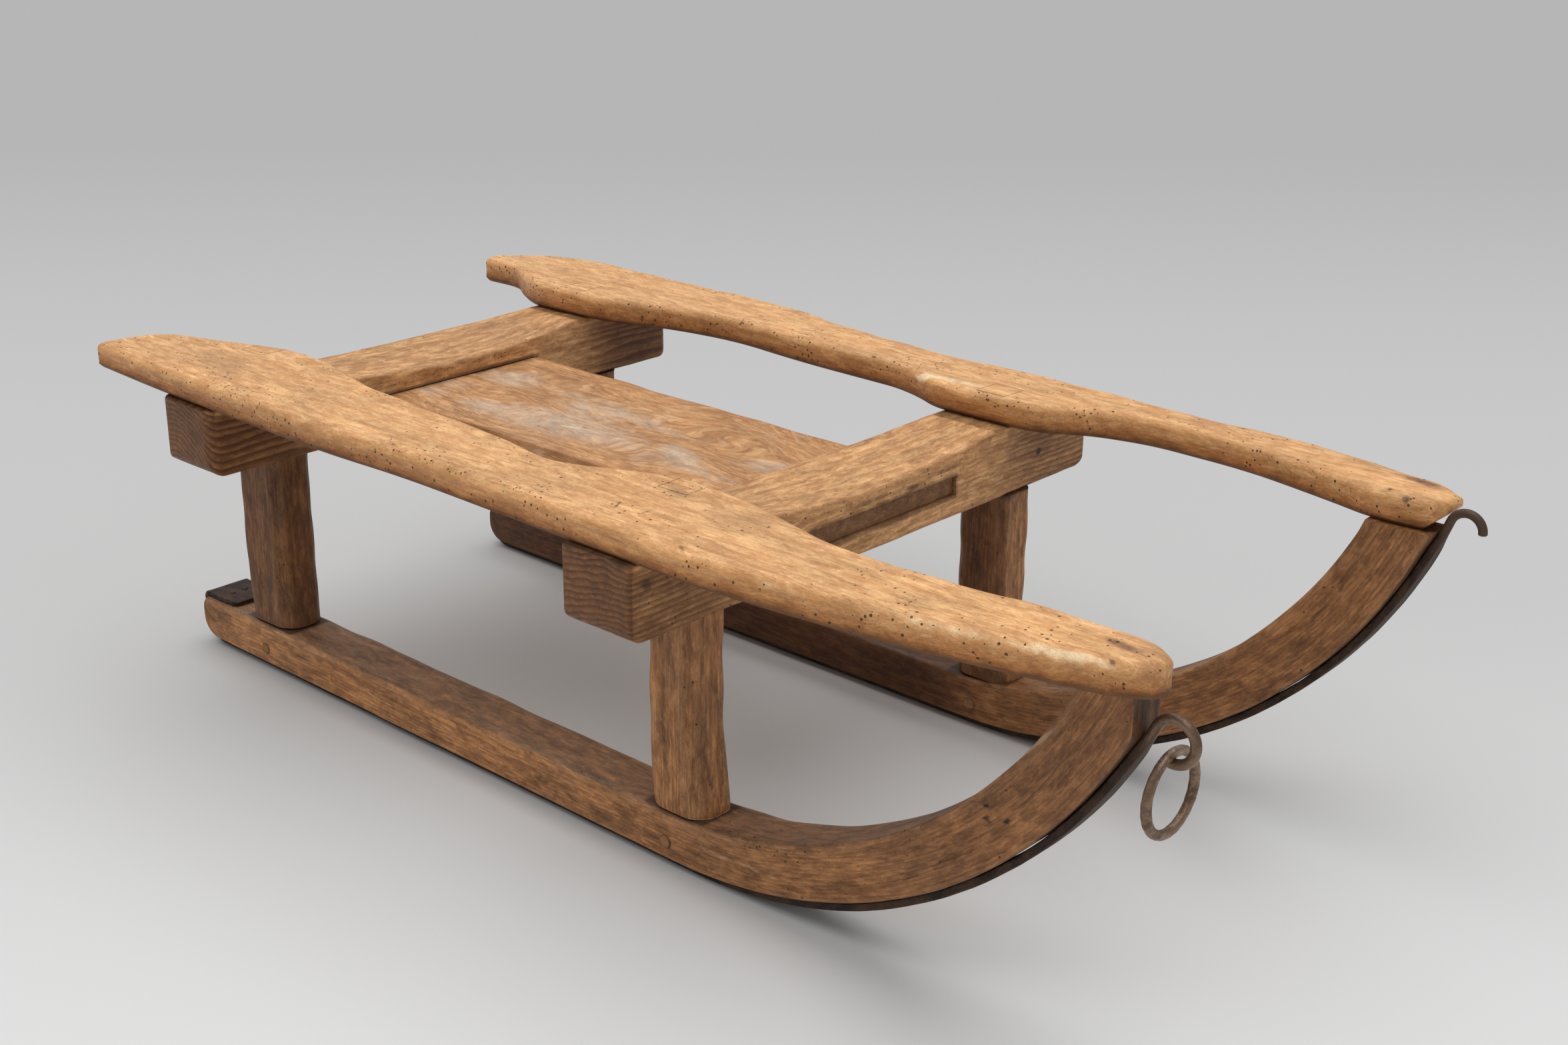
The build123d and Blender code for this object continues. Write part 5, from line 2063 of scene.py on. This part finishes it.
RIGHT_RUNNER_MARKS = (
    Mark(795, 166, 92, 4, 47, pale=0.9), Mark(779, 133, 5, 5, dark=1.0), Mark(780, 125, 5, 5, dark=1.0),
    Mark(793, 128, 5, 5, dark=1.0), Mark(590, 26, 120, 5, 3, pale=0.5), Mark(330, 24, 160, 5, -1, pale=0.35),
    Mark(230, 30, 60, 10, 6, dark=0.35), Mark(450, 17, 90, 7, -3, dark=0.45),
    Mark(660, 40, 70, 9, 24, dark=0.3), Mark(852, 214, 50, 26, 40, dark=0.35),
    Mark(60, 22, 40, 14, 10, grey=0.4), Mark(126, 40, 30, 5, pale=0.6), Mark(610, 44, 60, 10, 12, dark=0.4),
    Mark(700, 62, 40, 14, 30, dark=0.35), Mark(740, 110, 60, 10, 40, dark=0.4),
    Mark(820, 190, 40, 14, 50, dark=0.4),
)
REAR_BEAM_MARKS = (
    Mark(-205, 229, 60, 7, pale=0.4), Mark(100, 226, 40, 8, 4, dark=0.3),
    Mark(-215, 200, 60, 4, -20, pale=0.3), Mark(0, 222, 190, 6, dark=0.45), Mark(-60, 220, 60, 5, dark=0.4),
)
FRONT_BEAM_MARKS = (
    Mark(172, 208, 8, 7, 20, dark=1.0), Mark(-18, 219, 60, 5, dark=0.6), Mark(60, 220, 60, 4, 2, dark=0.6),
    Mark(30, 217, 24, 6, dark=0.6), Mark(-216, 220, 11, 9, dark=0.75), Mark(120, 206, 40, 6, 4, dark=0.35),
    Mark(-140, 196, 70, 12, -4, dark=0.3), Mark(-77, 206, 10, 12, dark=0.9),
    Mark(-178, 212, 90, 40, dark=0.35),
)
SEAT_MARKS = (
    Mark(290, -30, 200, 70, 4, grey=0.7), Mark(300, -30, 34, 5, 20, pale=0.8),
    Mark(303, -28, 26, 4, -60, pale=0.7), Mark(258, -20, 60, 12, -10, pale=0.4),
    Mark(364, -34, 60, 14, 8, pale=0.35), Mark(222, -40, 90, 40, grey=0.7),
    Mark(221, -14, 15, 6, 10, dark=0.5), Mark(398, -20, 60, 28, -20, grey=0.8),
    Mark(330, 14, 150, 20, -6, grey=0.6), Mark(250, 26, 90, 18, 10, grey=0.5),
    Mark(170, 24, 90, 50, grey=0.65), Mark(470, 6, 90, 34, 14, grey=0.65),
    Mark(420, 38, 120, 12, -4, pale=0.2), Mark(150, -44, 60, 30, grey=0.6),
    Mark(330, -2, 90, 5, 6, dark=0.22), Mark(352, -52, 110, 5, -3, dark=0.24),
    Mark(424, -6, 40, 6, -24, dark=0.24), Mark(440, -56, 110, 12, dark=0.16),
    Mark(240, 54, 70, 10, dark=0.14), Mark(296, 34, 60, 5, 4, dark=0.2),
    Mark(500, -34, 50, 22, 10, grey=0.5),
)


def build_sled() -> None:
    """Every piece of the sled, from the ground up."""
    iron, runner_wood, beam_wood, rail_wood = (
        finish.material() for finish in (IRON_FINISH, RUNNER_FINISH, BEAM_FINISH, RAIL_FINISH))
    Shoe(Side.LEFT, curl_height=SIZES.tip_height + 8.2, curl_radius=10.5, curl_end=0.0, seed=41,
         bare=0.3).place(iron)
    Shoe(Side.RIGHT, curl_height=SIZES.tip_height - 27.3, curl_radius=12.4, curl_end=-115.0, seed=43, bar=6.2,
         bare=0.85).place(iron)
    Runner(Side.LEFT, LEFT_RUNNER_MARKS, seed=11, shade=1.0).place(runner_wood)
    Runner(Side.RIGHT, RIGHT_RUNNER_MARKS, seed=12, toe_cut=15.0).place(runner_wood)
    Pegs().place(PEG_FINISH.material())
    for seed, spot in enumerate(POSTS, 51):
        Post(spot, seed).place(runner_wood)
    Crossbeam(Frame.REAR, station=108.0, depth=62.0, marks=REAR_BEAM_MARKS, heart=(-18.0, -16.0), seed=61,
              left_reach=224.0, arris=9.0, tone=0.95).place(beam_wood)
    Crossbeam(Frame.FRONT, station=539.5, depth=59.0, marks=FRONT_BEAM_MARKS, heart=(30.0, -150.0),
              seed=62).place(beam_wood)
    SeatBoard(rear=80.0, front=566.0, marks=SEAT_MARKS).place(SEAT_FINISH.material())
    Rail(Side.LEFT, LEFT_SHARES, LEFT_RAIL_MARKS, seed=21, undercut=20.0).place(rail_wood)
    Rail(Side.RIGHT, RIGHT_SHARES, RIGHT_RAIL_MARKS, seed=22).place(rail_wood)
    Nails().place(iron)
    PullRing().place(iron)


def main() -> None:
    """Builds the sled and the studio."""
    logging.basicConfig(level=logging.INFO, format="%(name)s %(message)s")
    Studio().place()
    build_sled()


if __name__ == "__main__":
    main()
